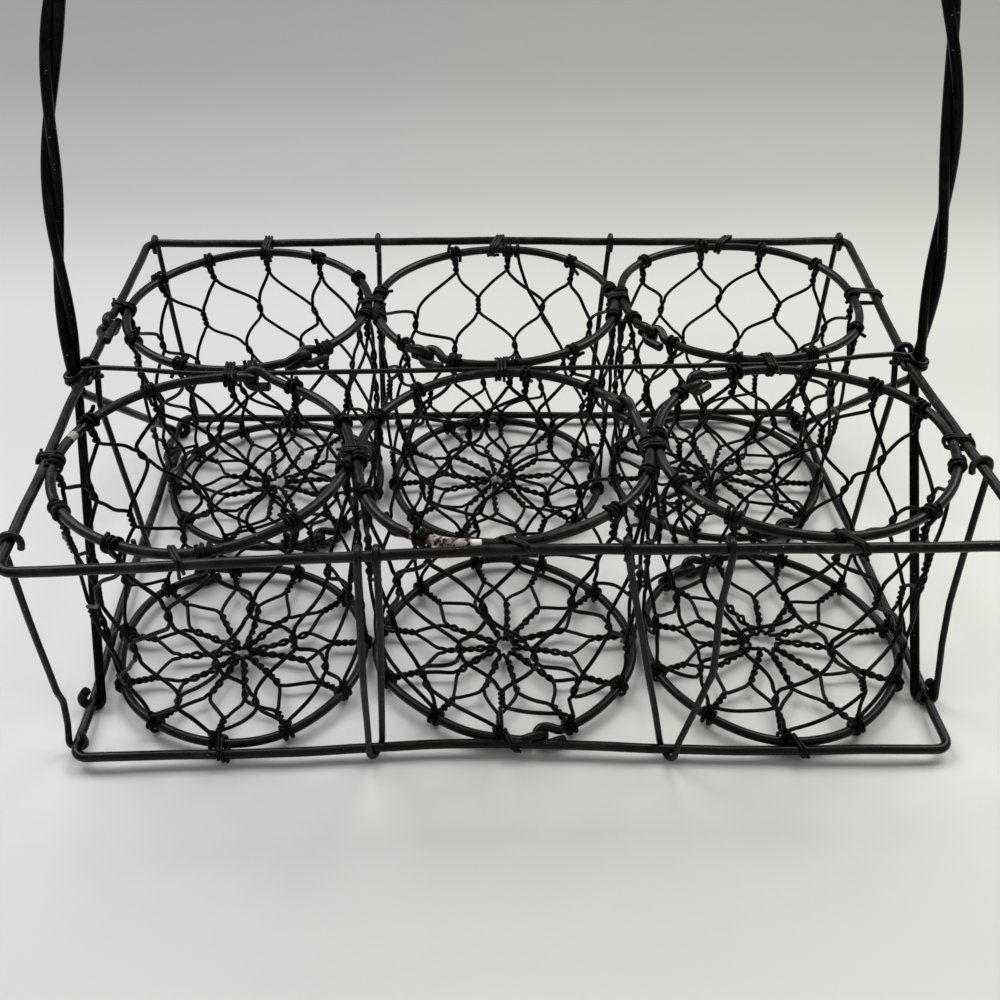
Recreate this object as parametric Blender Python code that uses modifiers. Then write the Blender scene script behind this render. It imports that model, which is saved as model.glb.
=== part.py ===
"""Wire plant caddy: six hexagonal-net pot baskets in a wire frame with a twisted handle.

Units are metres and +Z is up. The origin is on the ground under the middle of the caddy,
+X runs along its length and -Y is its front. The lengths below drive everything else.
"""

from math import cos, pi, sin

import bmesh
import bpy
import numpy as np

# Wires
FRAME_WIRE = 0.0032
HANDLE_WIRE = 0.0032
POST_WIRE = 0.0024
CROSS_WIRE = 0.0020
TIE_WIRE = 0.0012
NET_WIRE = 0.0014
GAP = 0.0003

# Baskets
TOP_RING_RADIUS = 0.050
FLOOR_RING_RADIUS = 0.048
BASKETS_LONG = 3
ROW_SLACK = 0.0006
FLOOR_ROW_SLACK = 0.0108

# Frame
FRAME_HEIGHT = 0.094
TOP_RAIL_SLACK = 0.0015
FLOOR_RAIL_SLACK = 0.0020
RAIL_CORNER = 0.005
LINK_STUB = 0.0030
LINK_RUN_IN = 0.0035
HOOK_STUB = 0.0040
FOOT_FLAT = 0.0005

# Handle
HANDLE_RISE = 0.235
HANDLE_LEAN = 0.0093
HANDLE_LEAN_RISE = 0.118
HANDLE_SHOULDER = 0.130
HANDLE_SWAY = 0.0030
HANDLE_HALF_TURNS = 12
HANDLE_SPLIT_DROP = 0.0085
FRONT_LEG_SHARE = 0.742
BACK_LEG_SHARE = 0.826
LASH_SLOPE = 0.0045

# Posts: insets from a rail's front, and one shift behind the handle
SIDE_POST_SHIFT = 0.0110
FRONT_LEFT_POST_TOP_INSET = 0.0139
FRONT_LEFT_POST_FOOT_INSET = 0.0125
FRONT_RIGHT_POST_TOP_INSET = 0.0414
FRONT_RIGHT_POST_FOOT_INSET = 0.0165

# Struts: places along the front and the back rail, as shares of the rings' pitch
BACK_STRUT_SHARES = (-0.531, 0.488)
LEFT_STRUT_SHARES = (-0.464, -0.472, -0.386)
RIGHT_STRUT_SHARES = (0.367, 0.536, 0.662)

# Where the rails and the rings are hooked shut
RAIL_LINK_SHARE = 0.752
RING_LINK_HALF_COLUMNS = 7

# Netting
NET_COLUMNS = 11
HUB_RADIUS = 0.0060
SPOKE_RADIUS = 0.0250
JUNCTION_RADIUS = 0.0345
TOP_STUB_SHARE = 0.117
TWIST_SHARE = 0.106
STRAND_SHARE = 0.128
NET_ROWS = 4
NET_PHASE = pi / NET_COLUMNS / 4

# Facets
RING_STEPS = 22
CORNER_STEPS = 3
TURN_STEPS = 4
TWIST_STEPS = 5
ARCH_STEPS = 400
ROUND_BEVEL_STEPS = 2
PLAIN_BEVEL_STEPS = 1
FINE_BEVEL_STEPS = 0

# Worked out from the sizes above
RING_PITCH = 2 * max(TOP_RING_RADIUS, FLOOR_RING_RADIUS) + FRAME_WIRE + GAP
ROW_PITCH = 2 * TOP_RING_RADIUS + FRAME_WIRE + CROSS_WIRE + 2 * ROW_SLACK
FLOOR_ROW_PITCH = 2 * FLOOR_RING_RADIUS + FRAME_WIRE + FLOOR_ROW_SLACK
TOP_RAIL_X = (BASKETS_LONG - 1) / 2 * RING_PITCH + TOP_RING_RADIUS + FRAME_WIRE + TOP_RAIL_SLACK
TOP_RAIL_Y = ROW_PITCH / 2 + TOP_RING_RADIUS + FRAME_WIRE + TOP_RAIL_SLACK
FLOOR_RAIL_X = (BASKETS_LONG - 1) / 2 * RING_PITCH + FLOOR_RING_RADIUS + FRAME_WIRE + FLOOR_RAIL_SLACK
FLOOR_RAIL_Y = FLOOR_ROW_PITCH / 2 + FLOOR_RING_RADIUS + FRAME_WIRE + GAP
FLOOR_Z = HANDLE_WIRE + GAP + FRAME_WIRE / 2 - FOOT_FLAT
TOP_Z = FLOOR_Z + FRAME_HEIGHT
HANDLE_X = TOP_RAIL_X + FRAME_WIRE / 2 + GAP + HANDLE_WIRE / 2
STRAND_OFFSET = (HANDLE_WIRE + GAP) / 2 / cos(pi / TWIST_STEPS / 2)
POST_REACH = FRAME_WIRE / 2 + GAP + POST_WIRE / 2
LEG_REACH = FRAME_WIRE / 2 + GAP + HANDLE_WIRE / 2
FRONT_LEG_Y = -FRONT_LEG_SHARE * FLOOR_RAIL_Y
BACK_LEG_Y = BACK_LEG_SHARE * FLOOR_RAIL_Y
CROSS_REACH = FRAME_WIRE / 2 + GAP + CROSS_WIRE / 2
TIE_REACH = FRAME_WIRE / 2 + GAP + TIE_WIRE / 2
LINK_REACH = FRAME_WIRE + GAP

X, Y, Z = np.eye(3)


def clear_scene():
    """Remove every object of the open scene."""
    for item in list(bpy.data.objects):
        bpy.data.objects.remove(item, do_unlink=True)


def new_collection(name):
    """A collection under the scene's own."""
    collection = bpy.data.collections.new(name)
    bpy.context.scene.collection.children.link(collection)
    return collection


def new_material(name, colour, roughness, metallic):
    """A Principled material of one colour."""
    material = bpy.data.materials.new(name)
    material.use_nodes = True
    shader = material.node_tree.nodes["Principled BSDF"]
    shader.inputs["Base Color"].default_value = (*colour, 1.0)
    shader.inputs["Roughness"].default_value = roughness
    shader.inputs["Metallic"].default_value = metallic
    material.diffuse_color = (*colour, 1.0)
    return material


def paint(name, kind):
    """The painted steel of one kind of wire, as a material of the piece's own."""
    looks = {
        "frame": ((0.022, 0.022, 0.023), 0.42, 0.0),
        "handle": ((0.012, 0.012, 0.013), 0.38, 0.0),
        "net": ((0.030, 0.028, 0.026), 0.50, 0.0),
        "tie": ((0.040, 0.037, 0.034), 0.48, 0.0),
    }
    return new_material(name + "_paint", *looks[kind])


def half_turn(centre, start, through, reach):
    """Points of a half turn round centre, from the side start, past the side through."""
    angles = (np.arange(TURN_STEPS) + 0.5) * pi / TURN_STEPS
    radius = reach / cos(pi / TURN_STEPS / 2)
    return [centre + radius * (cos(a) * start + sin(a) * through) for a in angles]


def wire_curve(name, points, diameter, resolution):
    """A round wire through the points, as a curve with filled ends."""
    curve = bpy.data.curves.new(name, "CURVE")
    curve.dimensions = "3D"
    curve.bevel_depth = diameter / 2
    curve.bevel_resolution = resolution
    curve.use_fill_caps = True
    spline = curve.splines.new("POLY")
    spline.points.add(len(points) - 1)
    for target, point in zip(spline.points, points):
        target.co = (*point, 1.0)
    return curve


def place(name, data, kind, collection, parent=None, location=(0, 0, 0), turn=0.0):
    """One named piece, placed by its location and its turn about the vertical."""
    piece = bpy.data.objects.new(name, data)
    collection.objects.link(piece)
    piece.location = location
    piece.rotation_euler = (0, 0, turn)
    piece.parent = parent
    if not data.materials:
        data.materials.append(None)
    piece.material_slots[0].link = "OBJECT"
    piece.material_slots[0].material = paint(name, kind)
    return piece


def link_hook(centre, travel, side):
    """A wire's end bent back in a hook that holds a like hook, for a wire that travels to centre."""
    overrun = LINK_REACH / 2
    bend = centre + (overrun - LINK_REACH) * travel
    entry = bend - LINK_RUN_IN * travel - LINK_REACH * side
    stub = bend - LINK_STUB * travel + LINK_REACH * side
    return [entry] + half_turn(bend, -side, travel, LINK_REACH) + [stub]


def linked_wire(outline, centre, travel, inward):
    """An open outline whose two ends meet at centre in hooks that lean across each other."""
    first = link_hook(centre, -travel, (Z - inward) / 2**0.5)
    last = link_hook(centre, travel, (Z + inward) / 2**0.5)
    return first[::-1] + outline + last


def link_span():
    """Half of the length that the two linked hooks take up along a wire."""
    return LINK_REACH / 2 + 2 * LINK_RUN_IN


def ring_points(radius, closure):
    """A ring of wire whose ends are hooked together at the closure angle."""
    margin = (link_span() + LINK_REACH) / radius
    angles = np.linspace(closure + margin, closure + 2 * pi - margin, RING_STEPS - 1)
    outline = [radius * (cos(a) * X + sin(a) * Y) for a in angles]
    outward = cos(closure) * X + sin(closure) * Y
    travel = -sin(closure) * X + cos(closure) * Y
    return linked_wire(outline, radius * outward, travel, -outward)


def rail_outline(half_x, half_y):
    """The corner points of a rail's rounded rectangle, from the left side over the front."""
    corners = ((-1, -1, pi), (1, -1, 3 * pi / 2), (1, 1, 0), (-1, 1, pi / 2))
    points = []
    for side_x, side_y, start in corners:
        centre = side_x * (half_x - RAIL_CORNER) * X + side_y * (half_y - RAIL_CORNER) * Y
        for angle in np.linspace(start, start + pi / 2, CORNER_STEPS + 1):
            points.append(centre + RAIL_CORNER * (cos(angle) * X + sin(angle) * Y))
    return points


def rail_points(half_x, half_y):
    """A rail's whole wire, hooked to itself on its left side, beside the back row."""
    centre = -half_x * X + RAIL_LINK_SHARE * ROW_PITCH / 2 * Y
    run = (link_span() + LINK_REACH) * Y
    outline = [centre - run] + rail_outline(half_x, half_y) + [centre + run]
    return linked_wire(outline, centre, -Y, X)


def post_points(top, foot, run_side):
    """A post hooked over the top rail and under the bottom one, its run on run_side."""
    stub_top = top - POST_REACH * run_side - HOOK_STUB * Z
    stub_foot = foot - POST_REACH * run_side + HOOK_STUB * Z
    over = half_turn(top, -run_side, Z, POST_REACH)
    under = half_turn(foot, run_side, -Z, POST_REACH)
    return [stub_top] + over + under + [stub_foot]


def strut_points(shares):
    """A strut bent round the bottom front rail, with both its ends hooked over the top one."""
    first_x, foot_x, second_x = RING_PITCH * np.array(shares)
    first = first_x * X - TOP_RAIL_Y * Y + TOP_Z * Z
    foot = foot_x * X - FLOOR_RAIL_Y * Y + FLOOR_Z * Z
    second = second_x * X - TOP_RAIL_Y * Y + TOP_Z * Z
    down = half_turn(first, Y, Z, POST_REACH)
    under = half_turn(foot, -Y, -Z, POST_REACH)
    up = half_turn(second, Y, Z, POST_REACH)
    stub_first = first + POST_REACH * Y - HOOK_STUB * Z
    stub_second = second - POST_REACH * Y - HOOK_STUB * Z
    return [stub_first] + down + under + up + [stub_second]


def handle_half(side):
    """Half of the handle's middle line, from its foot on one side up to the crown."""
    foot = side * HANDLE_X * X + TOP_Z * Z
    lean = foot + (HANDLE_SWAY - side * HANDLE_LEAN) * X + HANDLE_LEAN_RISE * Z
    crown = HANDLE_SWAY * X + (TOP_Z + HANDLE_RISE) * Z
    shoulder = crown + side * HANDLE_SHOULDER * X
    rise = np.linspace(0, 1, ARCH_STEPS)[:, None]
    low = (1 - rise) ** 3 * foot + 3 * (1 - rise) ** 2 * rise * lean
    return low + 3 * (1 - rise) * rise**2 * shoulder + rise**3 * crown


def handle_arch(share):
    """The handle's middle line from its left foot to its right, at shares of its length."""
    line = np.vstack([handle_half(-1), handle_half(1)[-2::-1]])
    steps = np.linalg.norm(np.diff(line, axis=0), axis=1)
    along = np.concatenate([[0], np.cumsum(steps)]) / steps.sum()
    return np.stack([np.interp(share, along, line[:, k]) for k in range(3)], axis=1)


def handle_twist(side):
    """One strand of the handle: it circles the arch once in every two half turns."""
    share = np.linspace(0, 1, HANDLE_HALF_TURNS * TWIST_STEPS + 1)
    middle = handle_arch(share)
    tangent = np.gradient(middle, axis=0)
    tangent /= np.linalg.norm(tangent, axis=1)[:, None]
    across = np.cross(tangent, Y)
    angle = share * HANDLE_HALF_TURNS * pi
    spin = np.cos(angle)[:, None] * Y + np.sin(angle)[:, None] * across
    return list(middle + side * STRAND_OFFSET * spin)


def leg_points(side_x, side_y, foot_y):
    """A strand's leg from under the top rail to its hook round the bottom rail."""
    outward = side_x * X
    split = side_x * HANDLE_X * X + side_y * STRAND_OFFSET * Y + (TOP_Z - HANDLE_SPLIT_DROP) * Z
    foot = side_x * FLOOR_RAIL_X * X + foot_y * Y + FLOOR_Z * Z
    stub = foot + LEG_REACH * outward + HOOK_STUB * Z
    return [split] + half_turn(foot, -outward, -Z, LEG_REACH) + [stub]


def strand_points(side_y, foot_y):
    """A whole strand of the handle, from one foot over the arch to the other."""
    left = leg_points(-1, side_y, foot_y)
    right = leg_points(1, side_y, foot_y)
    return left[::-1] + handle_twist(side_y) + right


def lash_points(side_x):
    """The cross wire's end: over the rail, round behind both strands and back under the rail."""
    rail = side_x * TOP_RAIL_X * X + TOP_Z * Z
    outward = side_x * X
    clear_y = STRAND_OFFSET + HANDLE_WIRE / 2 + GAP + CROSS_WIRE / 2
    behind = HANDLE_WIRE + GAP + CROSS_REACH
    slope = clear_y * Y + LASH_SLOPE * Z
    over = rail + CROSS_REACH * Z - clear_y * Y
    return [
        rail - LASH_SLOPE * outward,
        over - CROSS_REACH * outward,
        over + CROSS_REACH * outward,
        rail + behind * outward - slope + 2 * LASH_SLOPE * Z,
        rail + behind * outward + slope - 2 * LASH_SLOPE * Z,
        rail + CROSS_REACH * outward + clear_y * Y - CROSS_REACH * Z - GAP * Z,
        rail - CROSS_REACH * outward + clear_y * Y - CROSS_REACH * Z,
        rail - (CROSS_REACH + HOOK_STUB / 2) * outward + clear_y * Y,
    ]


def cross_wire_points():
    """The wire between the two rows of rings, lashed to the rail and the handle at each end."""
    return lash_points(-1)[::-1] + lash_points(1)


def tie_points(span):
    """A turn and a quarter of tie wire round wires that run along Y, span apart along X."""
    steps = 2 * TURN_STEPS
    angles = (np.arange(steps + 2) + 0.5) * pi / TURN_STEPS
    pitch = (TIE_WIRE + GAP) / steps
    radius = TIE_REACH / cos(pi / TURN_STEPS / 2)
    points = []
    for count, angle in enumerate(angles):
        shift = span / 2 if cos(angle) > 0 else -span / 2
        point = (shift + radius * cos(angle)) * X + radius * sin(angle) * Z
        points.append(point + (count - steps / 2) * pitch * Y)
    return points


def basket_point(angle, depth):
    """A point of the basket's wall, depth as a share of the way from its top ring to its floor."""
    radius = TOP_RING_RADIUS + depth * (FLOOR_RING_RADIUS - TOP_RING_RADIUS)
    drift = depth * (FLOOR_ROW_PITCH - ROW_PITCH) / 2
    return radius * (cos(angle) * X + sin(angle) * Y) - drift * Y + (TOP_Z - depth * FRAME_HEIGHT) * Z


def twist_levels(row):
    """Where a row of twisted pairs starts and ends, as shares of the basket's depth."""
    if row == 0:
        return 0, TOP_STUB_SHARE
    start = TOP_STUB_SHARE + row * STRAND_SHARE + (row - 1) * TWIST_SHARE
    return start, start + TWIST_SHARE


def mesh_from(bm, name):
    """The bmesh as a mesh with its faces turned outwards."""
    bmesh.ops.recalc_face_normals(bm, faces=bm.faces)
    mesh = bpy.data.meshes.new(name)
    bm.to_mesh(mesh)
    bm.free()
    return mesh


def wireframe_of(mesh, guides):
    """The mesh's edges as wires of the net's thickness, as a bmesh."""
    sheet = bpy.data.objects.new(mesh.name + "_sheet", mesh)
    guides.objects.link(sheet)
    frame = sheet.modifiers.new("Netting", "WIREFRAME")
    frame.thickness = NET_WIRE
    frame.offset = 0.0
    frame.use_even_offset = False
    frame.use_boundary = True
    frame.use_replace = True
    evaluated = sheet.evaluated_get(bpy.context.evaluated_depsgraph_get())
    bm = bmesh.new()
    bm.from_mesh(evaluated.to_mesh())
    bpy.data.objects.remove(sheet, do_unlink=True)
    return bm


def trim(bm, point, normal):
    """Cut away what lies beyond a plane and close the cut wires."""
    geometry = bm.verts[:] + bm.edges[:] + bm.faces[:]
    bmesh.ops.bisect_plane(
        bm, geom=geometry, plane_co=point, plane_no=normal, clear_outer=True, dist=GAP / 1000
    )
    open_edges = [edge for edge in bm.edges if edge.is_boundary]
    bmesh.ops.holes_fill(bm, edges=open_edges, sides=0)


def net_row(bm, row, depth):
    """One vertex for each column of the wall at a depth; every other row is half a column on."""
    angles = NET_PHASE + (np.arange(NET_COLUMNS) + row % 2 / 2) * 2 * pi / NET_COLUMNS
    return [bm.verts.new(basket_point(angle, depth)) for angle in angles]


def side_net_mesh(guides):
    """A basket's wall of hexagonal netting: rows of twisted pairs joined by slanting strands."""
    bm = bmesh.new()
    upper = [net_row(bm, row, twist_levels(row)[0]) for row in range(NET_ROWS)]
    lower = [net_row(bm, row, twist_levels(row)[1]) for row in range(NET_ROWS)]
    upper.append(net_row(bm, NET_ROWS, 1))
    for column in range(NET_COLUMNS):
        after = (column + 1) % NET_COLUMNS
        rim = [upper[0][column], lower[0][column]]
        bm.faces.new(rim + [upper[1][column], lower[0][after], upper[0][after]])
        for row in range(NET_ROWS):
            left = (column - 1 + row % 2) % NET_COLUMNS
            right = (column + row % 2) % NET_COLUMNS
            if row < NET_ROWS - 1:
                near = [upper[row + 1][left], lower[row + 1][left], upper[row + 2][column]]
                far = [lower[row + 1][right], upper[row + 1][right]]
            else:
                near, far = [upper[row + 1][left]], [upper[row + 1][right]]
            bm.faces.new([lower[row][column]] + near + far)
    net = wireframe_of(mesh_from(bm, "side_net"), guides)
    seat = FRAME_WIRE / 2 + GAP
    trim(net, (TOP_Z - seat) * Z, Z)
    trim(net, (FLOOR_Z + seat) * Z, -Z)
    return mesh_from(net, "side_net")


def floor_net_mesh(guides):
    """A basket's floor: twisted spokes from a hub loop, each parting to the pairs at the ring.

    The sheet's rim lies outside the ring, so that trimming leaves only the ends of the pairs.
    """
    bm = bmesh.new()
    half = pi / NET_COLUMNS
    seat_radius = FLOOR_RING_RADIUS * cos(pi / RING_STEPS) - FRAME_WIRE / 2 - GAP
    rim_radius = FLOOR_RING_RADIUS / cos(half) ** 4

    def spoke_row(radius, turn):
        angles = NET_PHASE + half * turn + 2 * half * np.arange(NET_COLUMNS)
        return [bm.verts.new(radius * (cos(a) * X + sin(a) * Y)) for a in angles]

    hub, knees = spoke_row(HUB_RADIUS, 1), spoke_row(SPOKE_RADIUS, 1)
    joints, rim = spoke_row(JUNCTION_RADIUS, 0), spoke_row(rim_radius, 0)
    for column in range(NET_COLUMNS):
        after = (column + 1) % NET_COLUMNS
        wedge = [hub[column], knees[column], joints[after], knees[after], hub[after]]
        cell = [joints[column], rim[column], rim[after], joints[after], knees[column]]
        bm.faces.new(wedge)
        bm.faces.new(cell)
    net = wireframe_of(mesh_from(bm, "floor_net"), guides)
    for angle in NET_PHASE + 2 * half * np.arange(NET_COLUMNS):
        outward = cos(angle) * X + sin(angle) * Y
        trim(net, seat_radius * outward, outward)
    return mesh_from(net, "floor_net")


def basket_places():
    """Each basket's name, the middle of its top ring and its turn: the back row faces back."""
    columns = zip(("left", "middle", "right"), np.arange(BASKETS_LONG) - (BASKETS_LONG - 1) / 2)
    places = []
    for column, shift in columns:
        places.append(("front_" + column, (shift * RING_PITCH, -ROW_PITCH / 2, 0), 0.0))
        places.append(("back_" + column, (shift * RING_PITCH, ROW_PITCH / 2, 0), pi))
    return places


def build_baskets(collection, guides):
    """Six baskets, each of a top ring, a floor ring, a wall net and a floor net."""
    closure = NET_PHASE + RING_LINK_HALF_COLUMNS * pi / NET_COLUMNS
    top_points = ring_points(TOP_RING_RADIUS, closure)
    floor_points = ring_points(FLOOR_RING_RADIUS, closure)
    top_ring = wire_curve("top_ring", top_points, FRAME_WIRE, PLAIN_BEVEL_STEPS)
    floor_ring = wire_curve("floor_ring", floor_points, FRAME_WIRE, PLAIN_BEVEL_STEPS)
    side_net = side_net_mesh(guides)
    floor_net = floor_net_mesh(guides)
    drift = (FLOOR_ROW_PITCH - ROW_PITCH) / 2
    for name, middle, turn in basket_places():
        basket = bpy.data.objects.new(name + "_basket", None)
        collection.objects.link(basket)
        basket.location = middle
        basket.rotation_euler = (0, 0, turn)
        place("top_ring_" + name, top_ring, "frame", collection, basket, (0, 0, TOP_Z))
        place("floor_ring_" + name, floor_ring, "frame", collection, basket, (0, -drift, FLOOR_Z))
        place("side_net_" + name, side_net, "net", collection, basket)
        place("floor_net_" + name, floor_net, "net", collection, basket, (0, -drift, FLOOR_Z))


def build_rails(collection):
    """The top and the bottom rail."""
    top = rail_points(TOP_RAIL_X, TOP_RAIL_Y)
    floor = rail_points(FLOOR_RAIL_X, FLOOR_RAIL_Y)
    top_curve = wire_curve("top_rail", top, FRAME_WIRE, ROUND_BEVEL_STEPS)
    floor_curve = wire_curve("bottom_rail", floor, FRAME_WIRE, ROUND_BEVEL_STEPS)
    place("top_rail", top_curve, "frame", collection, None, (0, 0, TOP_Z))
    place("bottom_rail", floor_curve, "frame", collection, None, (0, 0, FLOOR_Z))


def flat_footed(curve, collection):
    """The curve as a mesh, cut flat where it stands on the ground."""
    rough = bpy.data.objects.new(curve.name + "_rough", curve)
    collection.objects.link(rough)
    evaluated = rough.evaluated_get(bpy.context.evaluated_depsgraph_get())
    bm = bmesh.new()
    bm.from_mesh(evaluated.to_mesh())
    bpy.data.objects.remove(rough, do_unlink=True)
    bmesh.ops.remove_doubles(bm, verts=bm.verts, dist=GAP / 1000)
    trim(bm, 0 * Z, -Z)
    return mesh_from(bm, curve.name)


def build_handle(collection, guides):
    """The handle's two twisted strands, whose ends are the caddy's four feet."""
    for name, side_y, foot_y in (("front", -1, FRONT_LEG_Y), ("back", 1, BACK_LEG_Y)):
        strand = "handle_strand_" + name
        curve = wire_curve(strand, strand_points(side_y, foot_y), HANDLE_WIRE, PLAIN_BEVEL_STEPS)
        place(strand, flat_footed(curve, guides), "handle", collection)
    cross = wire_curve("cross_wire", cross_wire_points(), CROSS_WIRE, PLAIN_BEVEL_STEPS)
    place("cross_wire", cross, "frame", collection)


def side_post(side, top_y, foot_y, run_side):
    """A post at the caddy's left or right end, side -1 or 1."""
    top = side * TOP_RAIL_X * X + top_y * Y + TOP_Z * Z
    foot = side * FLOOR_RAIL_X * X + foot_y * Y + FLOOR_Z * Z
    return post_points(top, foot, run_side)


def back_post(top_x, foot_x):
    """A post at the caddy's back, from top_x along the top rail to foot_x along the bottom one."""
    top = top_x * X + TOP_RAIL_Y * Y + TOP_Z * Z
    foot = foot_x * X + FLOOR_RAIL_Y * Y + FLOOR_Z * Z
    return post_points(top, foot, Y)


def build_posts(collection):
    """The posts and struts that tie the top rail to the bottom one.

    The back posts are hooked on where the rails' back corners end.
    """
    left_top_y = FRONT_LEFT_POST_TOP_INSET - TOP_RAIL_Y
    left_foot_y = FRONT_LEFT_POST_FOOT_INSET - FLOOR_RAIL_Y
    right_top_y = FRONT_RIGHT_POST_TOP_INSET - TOP_RAIL_Y
    right_foot_y = FRONT_RIGHT_POST_FOOT_INSET - FLOOR_RAIL_Y
    corner = RAIL_CORNER + POST_WIRE / 2
    back_top_x, back_foot_x = TOP_RAIL_X - corner, FLOOR_RAIL_X - corner
    left_strut_x, right_strut_x = RING_PITCH * np.array(BACK_STRUT_SHARES)
    paths = {
        "post_front_left": side_post(-1, left_top_y, left_foot_y, -X),
        "post_front_right": side_post(1, right_top_y, right_foot_y, X),
        "post_side_left": side_post(-1, SIDE_POST_SHIFT, SIDE_POST_SHIFT, X),
        "post_side_right": side_post(1, SIDE_POST_SHIFT, SIDE_POST_SHIFT, -X),
        "post_back_left": back_post(-back_top_x, -back_foot_x),
        "post_back_right": back_post(back_top_x, back_foot_x),
        "strut_back_left": back_post(left_strut_x, left_strut_x),
        "strut_back_right": back_post(right_strut_x, right_strut_x),
        "strut_front_left": strut_points(LEFT_STRUT_SHARES),
        "strut_front_right": strut_points(RIGHT_STRUT_SHARES),
    }
    for name, points in paths.items():
        place(name, wire_curve(name, points, POST_WIRE, PLAIN_BEVEL_STEPS), "frame", collection)


def build_ties(collection):
    """Loops of tie wire that bind the rings to the rails, the cross wire and each other."""
    ring_y, quarter = ROW_PITCH / 2, pi / 2
    rail_span = FRAME_WIRE + TOP_RAIL_SLACK
    ring_span = RING_PITCH - 2 * TOP_RING_RADIUS
    floor_span = FRAME_WIRE + GAP
    row_span = ROW_PITCH - 2 * TOP_RING_RADIUS
    rail_tie = wire_curve("rail_tie", tie_points(rail_span), TIE_WIRE, FINE_BEVEL_STEPS)
    ring_tie = wire_curve("ring_tie", tie_points(ring_span), TIE_WIRE, FINE_BEVEL_STEPS)
    floor_tie = wire_curve("floor_tie", tie_points(floor_span), TIE_WIRE, FINE_BEVEL_STEPS)
    row_tie = wire_curve("row_tie", tie_points(row_span), TIE_WIRE, FINE_BEVEL_STEPS)
    rail_y = TOP_RAIL_Y - rail_span / 2
    rail_x = TOP_RAIL_X - rail_span / 2
    low_y = FLOOR_RAIL_Y - floor_span / 2
    for column, name in zip(range(BASKETS_LONG), ("left", "middle", "right")):
        x = (column - (BASKETS_LONG - 1) / 2) * RING_PITCH
        place("tie_front_" + name, rail_tie, "tie", collection, None, (x, -rail_y, TOP_Z), quarter)
        place("tie_back_" + name, rail_tie, "tie", collection, None, (x, rail_y, TOP_Z), quarter)
        place("tie_row_" + name, row_tie, "tie", collection, None, (x, 0, TOP_Z), quarter)
        place("tie_floor_" + name, floor_tie, "tie", collection, None, (x, -low_y, FLOOR_Z), quarter)
    for row, y in (("front", -ring_y), ("back", ring_y)):
        for name, side in (("left", -1), ("right", 1)):
            x = side * RING_PITCH / 2
            place("tie_rings_%s_%s" % (row, name), ring_tie, "tie", collection, None, (x, y, TOP_Z))
            spot = (side * rail_x, y, TOP_Z)
            place("tie_side_%s_%s" % (row, name), rail_tie, "tie", collection, None, spot)


def main():
    """Build the whole caddy."""
    clear_scene()
    collection = new_collection("wire_plant_caddy")
    guides = new_collection("guides")
    build_rails(collection)
    build_baskets(collection, guides)
    build_handle(collection, guides)
    build_posts(collection)
    build_ties(collection)


main()
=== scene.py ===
"""Looks of the wire plant caddy: its bent wires, twisted netting, ties and paint.

The file is laid out as an add-on: its settings hold the sizes and colours, an operator makes
each group of like pieces, and main() calls the operators in order. Lengths are in metres and
+Z is up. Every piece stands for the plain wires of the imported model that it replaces.
"""

import bpy
import numpy as np
from mathutils import Matrix


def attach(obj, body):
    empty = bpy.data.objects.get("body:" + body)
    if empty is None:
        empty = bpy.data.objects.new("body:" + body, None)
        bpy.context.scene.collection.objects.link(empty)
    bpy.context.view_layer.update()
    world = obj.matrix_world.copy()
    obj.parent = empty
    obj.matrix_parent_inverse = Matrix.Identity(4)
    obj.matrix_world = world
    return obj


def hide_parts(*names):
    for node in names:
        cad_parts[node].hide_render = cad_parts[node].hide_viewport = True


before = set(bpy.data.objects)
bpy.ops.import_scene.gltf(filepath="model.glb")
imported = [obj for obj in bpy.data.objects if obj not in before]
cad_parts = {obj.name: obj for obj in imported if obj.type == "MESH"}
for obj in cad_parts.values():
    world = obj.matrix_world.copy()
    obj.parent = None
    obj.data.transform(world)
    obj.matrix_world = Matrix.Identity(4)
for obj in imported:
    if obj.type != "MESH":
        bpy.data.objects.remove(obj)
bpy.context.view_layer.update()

bl_info = {
    "name": "Wire Plant Caddy",
    "version": (1, 0, 0),
    "blender": (4, 5, 0),
    "location": "3D View > Sidebar > Caddy",
    "description": "Makes the wires, netting, ties and paint of a wire plant caddy",
    "category": "Add Mesh",
}

X, Y, Z = np.eye(3)
TURN = 2 * np.pi

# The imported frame's middle lines
RING_RADIUS, FLOOR_RING_RADIUS = 0.0500, 0.0480
RING_PITCH, ROW_PITCH, FLOOR_ROW_PITCH = 0.1035, 0.1064, 0.1100
RAIL_X, RAIL_Y, FLOOR_RAIL_X, FLOOR_RAIL_Y = 0.1582, 0.1079, 0.1567, 0.1065
RAIL_CORNER = 0.005
FLOOR_Z, FRAME_HEIGHT = 0.0046, 0.0940
TOP_Z = FLOOR_Z + FRAME_HEIGHT
HANDLE_X = 0.1617

# Handle: how far under the rail its strands part, where their feet are, and its crown's rise,
# shoulders and sway, with how far its sides lean out and how high up
SPLIT_DROP = 0.0085
FRONT_LEG_Y, BACK_LEG_Y = -0.0790, 0.0975
HANDLE_RISE, HANDLE_SHOULDER, HANDLE_SWAY = 0.235, 0.130, 0.0030
HANDLE_LEAN, HANDLE_LEAN_RISE = 0.0093, 0.118

# Where the handle's strands cross, as shares of the arch's length, and the half turns there
CROSSING_SHARES = (0, 0.084, 0.1635, 0.819, 0.914, 0.9955, 1)
CROSSING_HALF_TURNS = (0, 1, 2, 10, 11, 12, 12)

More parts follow.
